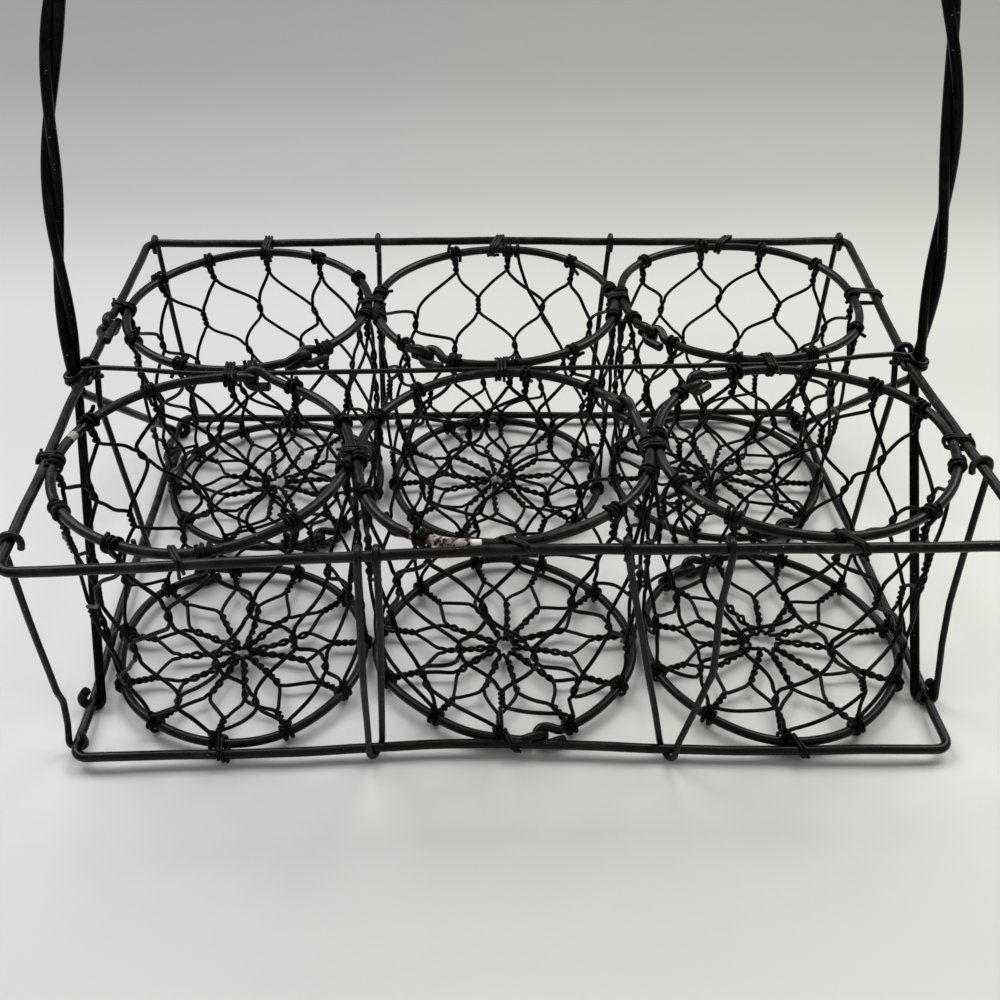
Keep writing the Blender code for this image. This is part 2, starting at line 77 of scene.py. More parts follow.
# How far hand-bending has moved the corners of each rail: right, back and up
TOP_CORNERS = {(-1, -1): (0.0030, -0.0036, 0), (1, -1): (0.0049, -0.0015, 0),
               (-1, 1): (0.0005, 0.0028, 0.0020), (1, 1): (0.0050, -0.0016, 0)}
LOW_CORNERS = {(-1, -1): (0.0004, -0.0006, 0), (1, -1): (0.0025, -0.0062, 0),
               (-1, 1): (-0.0020, 0.0030, 0), (1, 1): (-0.0015, -0.0012, 0)}

# How far the rails' long sides are bowed back, and the top one's front up: place, width and size
FRONT_BOW, FRONT_LIFT = (0.0, 0.100, 0.0041), (0.0, 0.045, 0.0009)
LOW_FRONT_BOW, BACK_BOW = (-0.018, 0.092, 0.0052), (0.0, 0.100, 0.0012)

# Where hand-bending has pushed rings out or in: in degrees from +X, and how far
BULGES = {
    "top_ring_front_left": ((278, 0.0012),),
    "top_ring_front_middle": ((228, 0.0042), (270, -0.0005), (300, -0.0016), (62, 0.0010)),
    "top_ring_front_right": ((22, 0.0034), (346, 0.0013)),
    "top_ring_back_right": ((0, -0.0018), (150, 0.0012)),
    "floor_ring_front_left": ((139, 0.0040), (195, -0.0016), (235, -0.0026), (265, -0.0018),
                              (317, -0.0010)),
    "floor_ring_front_middle": ((91, 0.0036), (180, 0.0028), (228, -0.0030), (265, -0.0010),
                                (352, 0.0027)),
    "floor_ring_front_right": ((80, 0.0020), (265, 0.0028), (300, 0.0030), (345, 0.0040)),
}

# Netting: its columns, and where its rows of twisted pairs start and end, as shares of a
# basket's depth
NET_COLUMNS = 11
TWIST_LEVELS = ((0.058, 0.117), (0.245, 0.351), (0.479, 0.585), (0.713, 0.819), (0.938, 0.972))

# A basket's floor: the half turns of its spokes and joints, the radii of the spokes' outer ends
# and of the joints' inner and outer ones, and that of its hub
SPOKE_HALF_TURNS, JOINT_HALF_TURNS = 6, 4
SPOKE_RADIUS, JOINT_RADIUS, FLOOR_EDGE_RADIUS = 0.0264, 0.0345, 0.0448
HUB_RADIUS = 0.0038
HUB_RADII = {"front_left": 0.0026, "front_middle": 0.0040, "front_right": 0.0050}

# How far a wall's middle is bowed out and a floor's hangs down
WALL_BELLY, FLOOR_SAG = 0.0007, 0.0008

# How far a twisted wire keeps from its pair's middle line, in wires
TWIST_SHARE = 0.52

# The lip of a cut end, in half thicknesses of its wire: how far it stands off and how wide it is
LIP_LENGTH, LIP_TAPER = 0.3, 0.72

# Where the floor rings of the middle baskets are hooked shut, in degrees from +X, where each rail
# is, along Y, and how far from its hooks' middle the outline of a ring or a rail ends
LOW_CLOSURES = {"front_middle": 284, "back_middle": 102}
TOP_RAIL_SHUT, LOW_RAIL_SHUT = 0.0364, 0.0790
RING_MARGIN, RAIL_MARGIN = 0.0150, 0.0160

# Painted light and shade on the floor's paper from the front to the back: where each change starts and
# ends, and how much it adds to the paper's tone or takes off
FLOOR_LIGHT_AND_SHADE = ((-0.20, -0.09, 0.12), (-0.08, 0.18, -0.29), (0.20, 0.46, -0.30), (0.42, 0.72, -0.13))

# Each basket: its column, its row, where its top ring is hooked shut, how far its columns lean
# per row, and where its netting's pairs leave the top ring, in whole degrees from +X
BASKETS = {
    "back_left": (-1, 1, 303, -0.20, (28, 61, 90, 119, 147, 181, 213, 246, 280, 314, 349)),
    "back_middle": (0, 1, 236, -0.04, (11, 47, 82, 111, 168, 194, 223, 249, 275, 306, 344)),
    "back_right": (1, 1, 214, 0.08, (1, 37, 68, 99, 136, 173, 199, 227, 257, 290, 327)),
    "front_left": (-1, -1, 80, -0.12, (23, 59, 89, 122, 152, 183, 214, 248, 281, 313, 349)),
    "front_middle": (0, -1, 32, 0.05, (3, 49, 79, 130, 154, 184, 206, 240, 273, 315, 343)),
    "front_right": (1, -1, 128, 0.05, (23, 45, 74, 106, 139, 172, 205, 232, 269, 309, 344)),
}

# Each kind of ring: its radius, and its depth as a share of the frame's height
RINGS = {"top_ring_": (RING_RADIUS, 0), "floor_ring_": (FLOOR_RING_RADIUS, 1)}

# Each kind of paint: its shares of the gloss, the wear and the specks, and how much rougher it is
PAINTS = {
    "frame": (1.0, 1.0, 1.0, 0.0),
    "handle": (0.3, 0.4, 1.0, -0.04),
    "net": (0.4, 0.8, 0.7, 0.06),
    "tie": (0.8, 1.0, 1.0, 0.04),
}
SPECK_COLOUR, RIM_COLOUR = (0.34, 0.33, 0.30), (0.10, 0.045, 0.025)

# The long chip in the front middle ring's paint: where its soft edges start and end
CHIP_LEFT, CHIP_RIGHT = (-0.0318, -0.0306), (-0.0090, -0.0084)
RUST_LEFT, RUST_RIGHT = (-0.0290, -0.0282), (-0.0256, -0.0246)
CHIP_FRONT, CHIP_BACK = (-0.1047, -0.1044), (-0.0945, -0.0930)
CHIP_BOTTOM = (TOP_Z - 0.0016, TOP_Z - 0.0008)
BRIGHT_X = -0.0125

# The middle of the small chip in the front left ring's paint
SMALL_CHIP_X, SMALL_CHIP_Y = -0.1512, -0.0405

# The photograph's camera, worked out from the rings and rails that it shows: its place, its yaw,
# pitch and roll in degrees and its lens in millimetres
CAMERA_PLACE = (-0.01035, -0.36205, 0.3221)
CAMERA_TURNS, CAMERA_LENS = (1.628, 38.454, -0.125), 39.66

# Where the lamps are, what they look at, and how far the studio's floor is under the caddy
LAMP_PLACES = {"left": (-0.80, 0.75, 1.45), "right": (0.85, 0.75, 1.45)}
LAMP_TARGET = 0.03 * Z
STUDIO_FLOOR_DEPTH = 0.00002


# Shapes


def seeded(*words):
    """A random generator that gives the same numbers each run for the same words."""
    return np.random.default_rng([ord(letter) for letter in "/".join(map(str, words))])


def unit(vectors):
    """Each vector divided by its length."""
    return vectors / np.linalg.norm(vectors, axis=-1, keepdims=True)


def dot(first, second):
    """The dot product of each pair of vectors, kept as a last axis of one."""
    return np.sum(first * second, axis=-1, keepdims=True)


def toward(angle):
    """The level direction at an angle from +X towards +Y, for one angle or a whole array."""
    angle = np.asarray(angle)[..., None]
    return np.cos(angle) * X + np.sin(angle) * Y


def distances(path):
    """How far along a path each point is: the summed lengths of the steps before it."""
    return np.concatenate([[0], np.cumsum(np.linalg.norm(np.diff(path, axis=0), axis=1))])


def resampled(points, count):
    """A polyline's points at count places, at equal shares of its summed length."""
    along = distances(points)
    places = np.linspace(0, along[-1], count)
    return np.stack([np.interp(places, along, points[:, k]) for k in range(3)], axis=1)


def soften(paths, reach):
    """Paths averaged along their length by a bell curve reach points wide, with the ends held.

    Beyond each end the path goes on as its own half turn about that end.
    """
    half = int(np.ceil(3 * reach))
    weights = np.exp(-0.5 * (np.arange(-half, half + 1) / reach) ** 2)
    weights /= weights.sum()
    before = 2 * paths[..., :1, :] - paths[..., half:0:-1, :]
    after = 2 * paths[..., -1:, :] - paths[..., -2:-half - 2:-1, :]
    padded = np.concatenate([before, paths, after], axis=-2)
    count = paths.shape[-2]
    return sum(weight * padded[..., k:k + count, :] for k, weight in enumerate(weights))


def bent(points, step, reach):
    """A bent wire's middle line: the polyline in even steps, its bends rounded over reach."""
    points = np.asarray(points, float)
    count = max(int(distances(points)[-1] / step), 8) + 1
    return soften(resampled(points, count), reach / step)


def wobbled(path, size, *words):
    """A path moved by three sine waves of seeded lengths and phases, the short ones smaller."""
    random = seeded("wobble", *words)
    along = distances(path)[:, None]
    shift = np.zeros_like(path)
    for length in (0.16, 0.08, 0.035):
        waves = along / length / random.uniform(0.8, 1.3) + random.uniform(0, 1, 3)
        shift += size * length / 0.16 * np.sin(TURN * waves)
    return path + shift


def arc(centre, start, through, reach, turn=np.pi, steps=12):
    """Points of an arc round centre, from the side start, past the side through."""
    angles = np.linspace(0, turn, steps)[:, None]
    return list(centre + reach * (np.cos(angles) * start + np.sin(angles) * through))


def round_wires(paths, radius, sides):
    """Round wires as vertices and faces: a circle is carried along each path.

    At a path's point the circle's two axes are any two square to the path. Each is turned back
    by the summed angle between neighbouring axes, so that the wire's faces never wring. The
    last circle at each end is smaller, for the rounded lip of a cut end.
    """
    paths = np.asarray(paths, float)
    paths = paths.reshape((-1,) + paths.shape[-2:])
    lip = LIP_LENGTH * radius
    first = paths[:, :1] + lip * unit(paths[:, :1] - paths[:, 1:2])
    last = paths[:, -1:] + lip * unit(paths[:, -1:] - paths[:, -2:-1])
    paths = np.concatenate([first, paths, last], axis=1)
    tangent = unit(np.gradient(paths, axis=1))
    normal = unit(np.cross(tangent, np.eye(3)[np.argmin(np.abs(tangent), axis=-1)]))
    here, after = tangent[:, :-1], tangent[:, 1:]
    carried = normal[:, :-1]
    carried = carried - (here + after) * dot(after, carried) / (1 + dot(here, after))
    wrung = np.arctan2(dot(np.cross(carried, normal[:, 1:]), after), dot(carried, normal[:, 1:]))
    total = np.concatenate([np.zeros_like(wrung[:, :1]), np.cumsum(wrung, axis=1)], axis=1)
    angle = (np.linspace(0, TURN, sides, endpoint=False) - total)[..., None]
    across = np.cross(tangent, normal)
    spokes = np.cos(angle) * normal[:, :, None] + np.sin(angle) * across[:, :, None]
    size = np.full(paths.shape[1], radius)
    size[[0, -1]] *= LIP_TAPER
    vertices = paths[:, :, None] + size[None, :, None, None] * spokes
    count, length = paths.shape[:2]
    index = np.arange(count * length * sides).reshape(count, length, sides)
    beside = np.roll(index, -1, axis=2)
    quads = np.stack([index[:, :-1], beside[:, :-1], beside[:, 1:], index[:, 1:]], axis=-1)
    caps = np.concatenate([index[:, 0, ::-1], index[:, -1]])
    return vertices.reshape(-1, 3), quads.reshape(-1, 4), caps


def add_wires(name, kind, paths, thickness, sides, node=None):
    """Round wires along paths as one mesh object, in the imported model's frame.

    They get the paint of their kind and stand for the node. What would reach below the surface
    that the caddy stands on is pressed flat on it.
    """
    vertices, quads, caps = round_wires(paths, thickness / 2, sides)
    vertices[:, 2] = np.maximum(vertices[:, 2], 0.0)
    mesh = bpy.data.meshes.new(name)
    mesh.from_pydata(vertices.tolist(), [], quads.tolist() + caps.tolist())
    mesh.polygons.foreach_set("use_smooth", [True] * len(quads) + [False] * len(caps))
    mesh.materials.append(paint(kind))
    piece = bpy.data.objects.new(name, mesh)
    bpy.context.scene.collection.objects.link(piece)
    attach(piece, "root")
    if node:
        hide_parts(node)


# Frame


def hook(centre, travel, side, reach, stub):
    """A wire's end bent back round a like hook: a run in, half a turn and a pinched cut stub."""
    bend = centre - reach / 2 * travel
    entry = bend - 0.0058 * travel - 0.20 * reach * side
    neck = bend - 0.0026 * travel - 0.80 * reach * side
    knee = bend - 0.0026 * travel + 0.92 * reach * side
    end = bend - stub * travel + 0.85 * reach * side
    return [entry, neck] + arc(bend, -side, travel, reach) + [knee, end]


def linked(outline, centre, travel, sides, stubs, wire):
    """An open outline whose two ends meet at centre, in hooks that open to the given sides."""
    reach = 0.93 * wire
    first = hook(centre, -travel, unit(sides[0]), reach, stubs[0])
    last = hook(centre, travel, unit(sides[1]), reach, stubs[1])
    return first[::-1] + list(outline) + last


def bump(x, spot):
    """A bell curve over x: spot gives its place, its width and its size."""
    place, width, size = spot
    return size * np.exp(-((x - place) / width) ** 2)


def bulge(ring, angle):
    """How far a ring is pushed out at an angle: a bell curve of its cosine for each bulge."""
    spots = BULGES.get(ring, ())
    return sum((size * np.exp(10 * (np.cos(angle - np.radians(place)) - 1))
                for place, size in spots), 0 * angle)


def racked(points, top=1.0):
    """Points moved as the rails were, by their place across, along and up the frame.

    The corners' moves are blended between them. The top rail's fade to nothing at the handle,
    in the middle of each side, and are scaled by top. The long sides' bows are added.
    """
    points = np.asarray(points, float)
    across = np.clip(points[..., :1] / RAIL_X, -1, 1)
    along = np.clip(points[..., 1:2] / RAIL_Y, -1, 1)
    height = np.clip((points[..., 2:] - FLOOR_Z) / FRAME_HEIGHT, 0, 1)
    moved = np.zeros_like(points)
    for corner, low in LOW_CORNERS.items():
        weight = (1 + corner[0] * across) * (1 + corner[1] * along) / 4
        high = top * np.abs(along) * np.array(TOP_CORNERS[corner])
        moved += weight * (height * high + (1 - height) * np.array(low))
    x, high = points[..., :1], top * height
    front, back = np.clip(-along, 0, 1), np.clip(along, 0, 1)
    moved += front * high * (bump(x, FRONT_BOW) * Y + bump(x, FRONT_LIFT) * Z)
    moved += front * (1 - height) * bump(x, LOW_FRONT_BOW) * Y + back * high * bump(x, BACK_BOW) * Y
    return points + moved


def basket_axis(name, depth):
    """The point of a basket's axis at a depth: 0 is the top ring's middle, 1 the floor ring's."""
    column, row = BASKETS[name][:2]
    pitch = ROW_PITCH + depth * (FLOOR_ROW_PITCH - ROW_PITCH)
    return column * RING_PITCH * X + row * pitch / 2 * Y + (TOP_Z - depth * FRAME_HEIGHT) * Z


def ring_path(kind, name, closure, wire):
    """A hand-bent ring: its radius and height swing slowly round it, and its ends are hooked."""
    random = seeded("ring", kind, name)
    radius, depth = RINGS[kind]
    margin = RING_MARGIN / radius
    angles = np.linspace(closure + margin, closure + TURN - margin, 180)
    swing = 1 + 0.006 * np.cos(2 * angles + random.uniform(0, TURN))
    rise = 0.0003 * np.sin(3 * angles + random.uniform(0, TURN))
    outline = (radius * swing + bulge(kind + name, angles))[:, None] * toward(angles)
    outward = toward(closure)
    sides = (0.9 * outward - 0.6 * Z, -0.5 * outward - Z)
    shut = (radius + 0.0006 + bulge(kind + name, closure)) * outward
    ends = linked(outline + rise[:, None] * Z, shut, toward(closure + np.pi / 2), sides,
                  (0.0068, 0.0056), wire)
    return basket_axis(name, depth) + bent(ends, 0.0006, 0.0009)


def rail_path(half_x, half_y, height, shut, wire):
    """A rounded rectangle of wire that is hooked to itself on its left side, at y = shut."""
    centre = -half_x * X + shut * Y + height * Z
    outline = [centre - RAIL_MARGIN * Y]
    for side_x, side_y, start in ((-1, -1, X), (1, -1, Y), (1, 1, X), (-1, 1, Y)):
        middle = side_x * (half_x - RAIL_CORNER) * X + side_y * (half_y - RAIL_CORNER) * Y
        first = side_x * X if start is X else side_y * Y
        second = side_y * Y if start is X else side_x * X
        outline += arc(middle + height * Z, first, second, RAIL_CORNER, np.pi / 2, 9)
    outline.append(centre + RAIL_MARGIN * Y)
    sides = (X + 0.35 * Z, 0.3 * X - Z)
    return bent(linked(outline, centre, -Y, sides, (0.0105, 0.0070), wire), 0.0008, 0.0010)


def arch_path(samples):
    """The handle's middle line, from its left foot over the crown to its right one.

    Each half is a cubic curve from the rail, pulled first along a slight outward lean and
    then in from a wide shoulder at the crown's height; points are at even lengths.
    """
    halves = []
    rise = np.linspace(0, 1, 300)[:, None]
    crown = HANDLE_SWAY * X + (TOP_Z + HANDLE_RISE) * Z
    for side in (-1, 1):
        foot = side * HANDLE_X * X + TOP_Z * Z
        lean = foot + (HANDLE_SWAY - side * HANDLE_LEAN) * X + HANDLE_LEAN_RISE * Z
        shoulder = crown + side * HANDLE_SHOULDER * X
        low = (1 - rise) ** 3 * foot + 3 * (1 - rise) ** 2 * rise * lean
        halves.append(low + 3 * (1 - rise) * rise**2 * shoulder + rise**3 * crown)
    return resampled(np.vstack([halves[0], halves[1][-2::-1]]), samples)


def strand_path(side_y, leg_y, size):
    """One strand of the handle: foot, leg, the twist round the arch, and down again.

    In the twist the strand keeps about half a wire from the arch and circles it once in every
    two half turns, with the half turns spread as the photographed crossings are; the circle
    starts at its own leg's side. The front legs come down inside the bottom rail, the back ones
    outside, and each foot's stub is pressed over the rail.
    """
    count, wire = 760, size.handle_wire
    middle = arch_path(count)
    tangent = unit(np.gradient(middle, axis=0))
    share = np.linspace(0, 1, count)[:, None]
    angle = np.pi * np.interp(share, CROSSING_SHARES, CROSSING_HALF_TURNS)
    spin = np.cos(angle) * Y - np.sin(angle) * np.cross(tangent, Y)
    twist = middle + side_y * 0.47 * wire * spin
    reach = (size.frame_wire + wire) / 2 + 0.00005
    legs = []
    for side_x in (-1, 1):
        split = side_x * HANDLE_X * X + side_y * wire / 2 * Y + (TOP_Z - SPLIT_DROP) * Z
        foot = side_x * FLOOR_RAIL_X * X + leg_y * Y + FLOOR_Z * Z
        down = side_x * side_y * X
        knee = foot - 0.98 * reach * down + 0.0014 * Z
        stub = foot - (0.62 if side_y > 0 else 0.25) * reach * down + 0.0050 * Z
        legs.append([split] + list(racked(arc(foot, down, -Z, reach) + [knee, stub], 0)))
    return bent(legs[0][::-1] + list(twist) + legs[1], 0.0008, 0.0011)


def lash_path(side_x, size):
    """The cross wire's end: over the rail, twice round the handle's strands, back under the rail.

    Each turn is an oval round both strands, a wire's width lower than the one before it.
    """
    rail = side_x * RAIL_X * X + TOP_Z * Z
    handle = side_x * HANDLE_X * X + TOP_Z * Z
    outward = side_x * X
    near = (size.frame_wire + size.cross_wire) / 2
    clear = 0.0033 + size.cross_wire / 2
    points = [rail - 0.0560 * outward, rail - 0.0400 * outward + 0.0004 * Z]
    points += [rail - 0.0180 * outward + 0.0022 * Z + 0.0012 * Y]
    points += [rail - 0.0060 * outward + near * Z + 0.0016 * Y, rail + 1.04 * near * Z]
    points.append(rail + 0.4 * near * outward - clear * Y * 0.8 + 0.8 * near * Z)
    for turn in range(2):
        drop = (0.0012 - 0.0021 * turn) * Z
        points.append(handle - clear * Y + drop)
        bend = near + 0.0001
        points += arc(handle - 0.0014 * Y + drop, -Y, outward, bend, np.pi / 2, 5)
        points += arc(handle + 0.0014 * Y + drop - 0.0004 * Z, outward, Y, bend, np.pi / 2, 5)
        points.append(handle + clear * Y - near * outward + drop - 0.0006 * Z)
        if turn == 0:
            points.append(rail - near * outward + clear * 0.9 * Y + drop)
            points.append(rail - near * outward - clear * 0.9 * Y - 0.0008 * Z)
    points.append(rail - near * outward + 0.7 * clear * Y - near * Z)
    points.append(rail - 0.0060 * outward + 0.5 * clear * Y - 0.0012 * Z)
    return points


def post_path(top, foot, run_side, reach, way):
    """A post hooked over the top rail and under the bottom one, its run on run_side through way.

    Each hook goes a little further than half round its rail, and its stub is pressed to it.
    """
    over = arc(top, -run_side, Z, reach)
    under = arc(foot, run_side, -Z, reach)
    aside, up = reach * run_side, reach * Z
    start = [top - 0.80 * aside - 1.0 * up, top - 0.96 * aside - 0.45 * up]
    end = [foot - 0.95 * aside + 0.7 * up, foot - 0.80 * aside + 1.6 * up]
    return bent(start + over + list(way) + under + end, 0.0006, 0.0008)


def side_post_path(side, reach):
    """A side post: its hook is behind the handle's lash and its run starts in front of it."""
    top = side * RAIL_X * X + 0.0080 * Y + TOP_Z * Z
    foot = side * FLOOR_RAIL_X * X + 0.0075 * Y + FLOOR_Z * Z
    over = arc(top, side * X, Z, reach)
    under = arc(foot, -side * X, -Z, reach)
    start = top + reach * side * X - 0.0040 * Z
    bend = top - (reach + 0.0004) * side * X - 0.0040 * Y - 0.0045 * Z
    run = top - (reach + 0.0002) * side * X - 0.0075 * Y - 0.0130 * Z
    end = foot + reach * side * X + 0.0042 * Z
    return bent([start] + over + [bend, run] + under + [end], 0.0006, 0.0010)


def strut_path(shares, reach, *way):
    """A strut bent round the bottom front rail, with both ends hooked over the top one.

    The shares give where its inner leg, its foot and its outer leg are across, in ring pitches.
    Its inner leg hangs behind the rails and its outer leg in front of them, through way; under
    the bottom rail the wire moves sideways from one to the other.
    """
    inner, foot, outer = [share * RING_PITCH * X for share in shares]
    inner = inner - RAIL_Y * Y + TOP_Z * Z
    foot = foot - (FLOOR_RAIL_Y + 0.0008) * Y + FLOOR_Z * Z
    outer = outer - RAIL_Y * Y + TOP_Z * Z
    down = arc(inner, -Y, Z, reach)
    aside = np.sign(shares[2] - shares[0]) * 0.0022 * np.linspace(-1, 1, 12)[:, None] * X
    under = list(np.array(arc(foot, Y, -Z, reach)) + aside)
    up = arc(outer, -Y, Z, reach)
    start = inner - 0.95 * reach * Y - 0.0024 * Z
    end = outer + 0.95 * reach * Y - 0.0036 * Z
    return bent([start] + down + under + list(np.array(way)) + up + [end], 0.0006, 0.0012)


def tie_path(first, second, run, reach, turns, pitch, tails, *words):
    """Tie wire wound turns times round two wires that run along run through first and second.

    Each turn is two half circles joined by straight runs, pitch further along; the two cut
    ends stand off by the lengths in tails.
    """
    random = seeded("tie", *words)
    middle, across = (first + second) / 2, unit(second - first)
    span = np.linalg.norm(second - first)
    steps = int(24 * turns)
    angle = np.linspace(0, TURN * turns, steps)[:, None] + random.uniform(-0.7, 0.7)
    loose = 1 + random.uniform(-0.03, 0.16, (steps, 1))
    shift = np.where(np.cos(angle) > 0, span / 2, -span / 2)
    around = (shift + loose * reach * np.cos(angle)) * across + loose * reach * np.sin(angle) * Z
    slide = np.linspace(-0.5, 0.5, steps)[:, None] * turns * pitch
    slide = slide + 0.55 * pitch * np.sin(angle + random.uniform(0, TURN))
    path = middle + around + slide * run
    start_way = unit(path[0] - middle + random.normal(0, 0.0011, 3))
    end_way = unit(path[-1] - middle + random.normal(0, 0.0011, 3))
    start = path[0] + tails[0] * unit(start_way + 0.8 * unit(path[0] - path[1]))
    end = path[-1] + tails[1] * unit(end_way + 0.8 * unit(path[-1] - path[-2]))
    return bent(np.vstack([start, path, end]), 0.00035, 0.0005)


def tie_spots():
    """Each tie's first and second wire, where they are closest, the way they run and its turns."""
    spots = {}
    for column, name in ((-1, "left"), (0, "middle"), (1, "right")):
        top = column * RING_PITCH * X + TOP_Z * Z
        low = column * RING_PITCH * X + FLOOR_Z * Z
        for row, side, turns in (("front", -1, 1.8), ("back", 1, 2.7)):
            edge = ROW_PITCH / 2 + RING_RADIUS
            edge += bulge("top_ring_%s_%s" % (row, name), side * np.pi / 2)
            rail = racked(top + side * RAIL_Y * Y)
            spots["tie_%s_%s" % (row, name)] = (top + side * edge * Y, rail, X, turns)
        gap = (ROW_PITCH / 2 - RING_RADIUS) * Y
        spots["tie_row_" + name] = (top - gap, top + gap, X, 2.4)
        edge = FLOOR_ROW_PITCH / 2 + FLOOR_RING_RADIUS
        edge += bulge("floor_ring_front_" + name, -np.pi / 2)
        spots["tie_floor_" + name] = (low - edge * Y, racked(low - FLOOR_RAIL_Y * Y), X, 1.9)
    gap = (RING_PITCH / 2 - RING_RADIUS) * X
    for row, y in (("front", -ROW_PITCH / 2), ("back", ROW_PITCH / 2)):
        for name, side in (("left", -1), ("right", 1)):
            place = y * Y + TOP_Z * Z
            touch = side * RING_PITCH / 2 * X + place
            spots["tie_rings_%s_%s" % (row, name)] = (touch - gap, touch + gap, Y, 2.4)
            edge = RING_PITCH + RING_RADIUS
            edge += bulge("top_ring_%s_%s" % (row, name), 0.0 if side > 0 else np.pi)
            rail = racked(side * RAIL_X * X + place)
            spots["tie_side_%s_%s" % (row, name)] = (side * edge * X + place, rail, Y, 2.2)
    return spots


# Netting


def along_knots(knots, places):
    """Values between the knots of each wire, for places counted in knots."""
    places = np.broadcast_to(places, (len(knots), places.shape[-1]))
    index = np.clip(np.floor(places).astype(int), 0, knots.shape[1] - 2)
    share = places - index
    low, high = (np.take_along_axis(knots, index + k, axis=1) for k in (0, 1))
    return (1 - share) * low + share * high


def knot_places(counts):
    """The places, counted in knots, of a net wire's points: so many in each span, then the last."""
    spans = [k + np.linspace(0, 1, count, endpoint=False) for k, count in enumerate(counts)]
    return np.concatenate(spans + [[float(len(counts))]])


def wrap_path(kind, name, size, theta, side, turns, tail, start, spin, first, pitch):
    """Net wires wound round a basket's ring at theta, from their cut ends to where they leave it.

    A point goes round the ring's own wire by psi, from start and against it where spin is -1,
    and touches that wire, while it slides to its side by first and by pitch wires in each turn.
    Beyond the last turn the wire goes straight on by its tail.
    """
    radius, depth = RINGS[kind]
    radius = (radius + bulge(kind + name, theta))[:, None]
    psi = np.linspace(1, 0, 34) * TURN * turns[:, None]
    slide = side[:, None] * (first + pitch * size.net_wire * psi / TURN)
    around = (start + spin * psi)[..., None]
    outward = toward(theta[:, None] + slide / radius)
    ring = basket_axis(name, depth) + radius[..., None] * outward
    reach = (size.frame_wire + size.net_wire) / 2
    wound = ring + reach * (np.cos(around) * outward + np.sin(around) * Z)
    way = unit(wound[:, :1] - wound[:, 1:2])
    off = unit(wound[:, :1] - ring[:, :1])
    steps = np.linspace(1, 0, 8, endpoint=False)[:, None]
    cut = wound[:, :1] + tail[:, None, None] * steps * (way + 0.35 * steps * off)
    return np.concatenate([cut, wound], axis=1)


def wall_knots(name, random):
    """Where the wires of a basket's wall start and end each of their twists.

    In even rows wires 2c and 2c + 1 are twisted at column c; in odd rows wires 2c + 1 and
    2c + 2 are twisted half a column on, so that each wire swings between two columns. The
    columns go over from the photographed places on the top ring to even ones, and end at the
    floor's joints. Returned are the angles, depths and sides at the knots, and the half turns.
    """
    lean, degrees = BASKETS[name][3:]
    pitch = TURN / NET_COLUMNS
    top = np.radians(np.array(degrees, float))
    wound = np.append(top, top[0] + TURN)
    first = top[0] + np.mean(top - top[0] - pitch * np.arange(NET_COLUMNS))
    number = np.arange(2 * NET_COLUMNS)
    last = len(TWIST_LEVELS) - 1
    angles, depths, sides, half_turns = [], [], [], []
    for level, (start, end) in enumerate(TWIST_LEVELS):
        pair = (number + level % 2) // 2
        place = pair - (level % 2) * 0.5
        share = min(level / 3, 1)
        seen = np.interp(place, np.arange(NET_COLUMNS + 1), wound)
        seen = np.where(place < 0, (wound[0] + wound[-2] - TURN) / 2, seen)
        middle = (1 - share) * seen + share * (first + pitch * place) + lean * pitch * level
        if level == last:
            joint = first_joint(name)
            lowest = first + lean * pitch * level - joint
            middle = joint + pitch * (np.round(lowest / pitch) + place)
        nudge = random.normal(0, 0.022, NET_COLUMNS + 1)
        drop = random.normal(0, 0.0085, NET_COLUMNS + 1)
        tilt = random.normal(0.20 * lean * pitch, 0.020, NET_COLUMNS + 1)
        turns = 2.0 + 2 * (random.random(NET_COLUMNS + 1) < (0.35 if 0 < level < last else 0))
        calm = {0: 0.35, last: 0.0}.get(level, 1.0)
        nudge, drop, tilt, turns = (np.append(values[:-1], values[0])[pair] for values in
                                    (calm * nudge, calm * drop, calm * tilt, turns))
        angles += [middle + nudge - tilt, middle + nudge + tilt]
        depths += [start + drop, end + drop]
        sides += [np.where((number + level) % 2 == 0, -1.0, 1.0)] * 2
        half_turns.append(turns)
    return [np.stack(values, axis=1) for values in (angles, depths, sides, half_turns)]


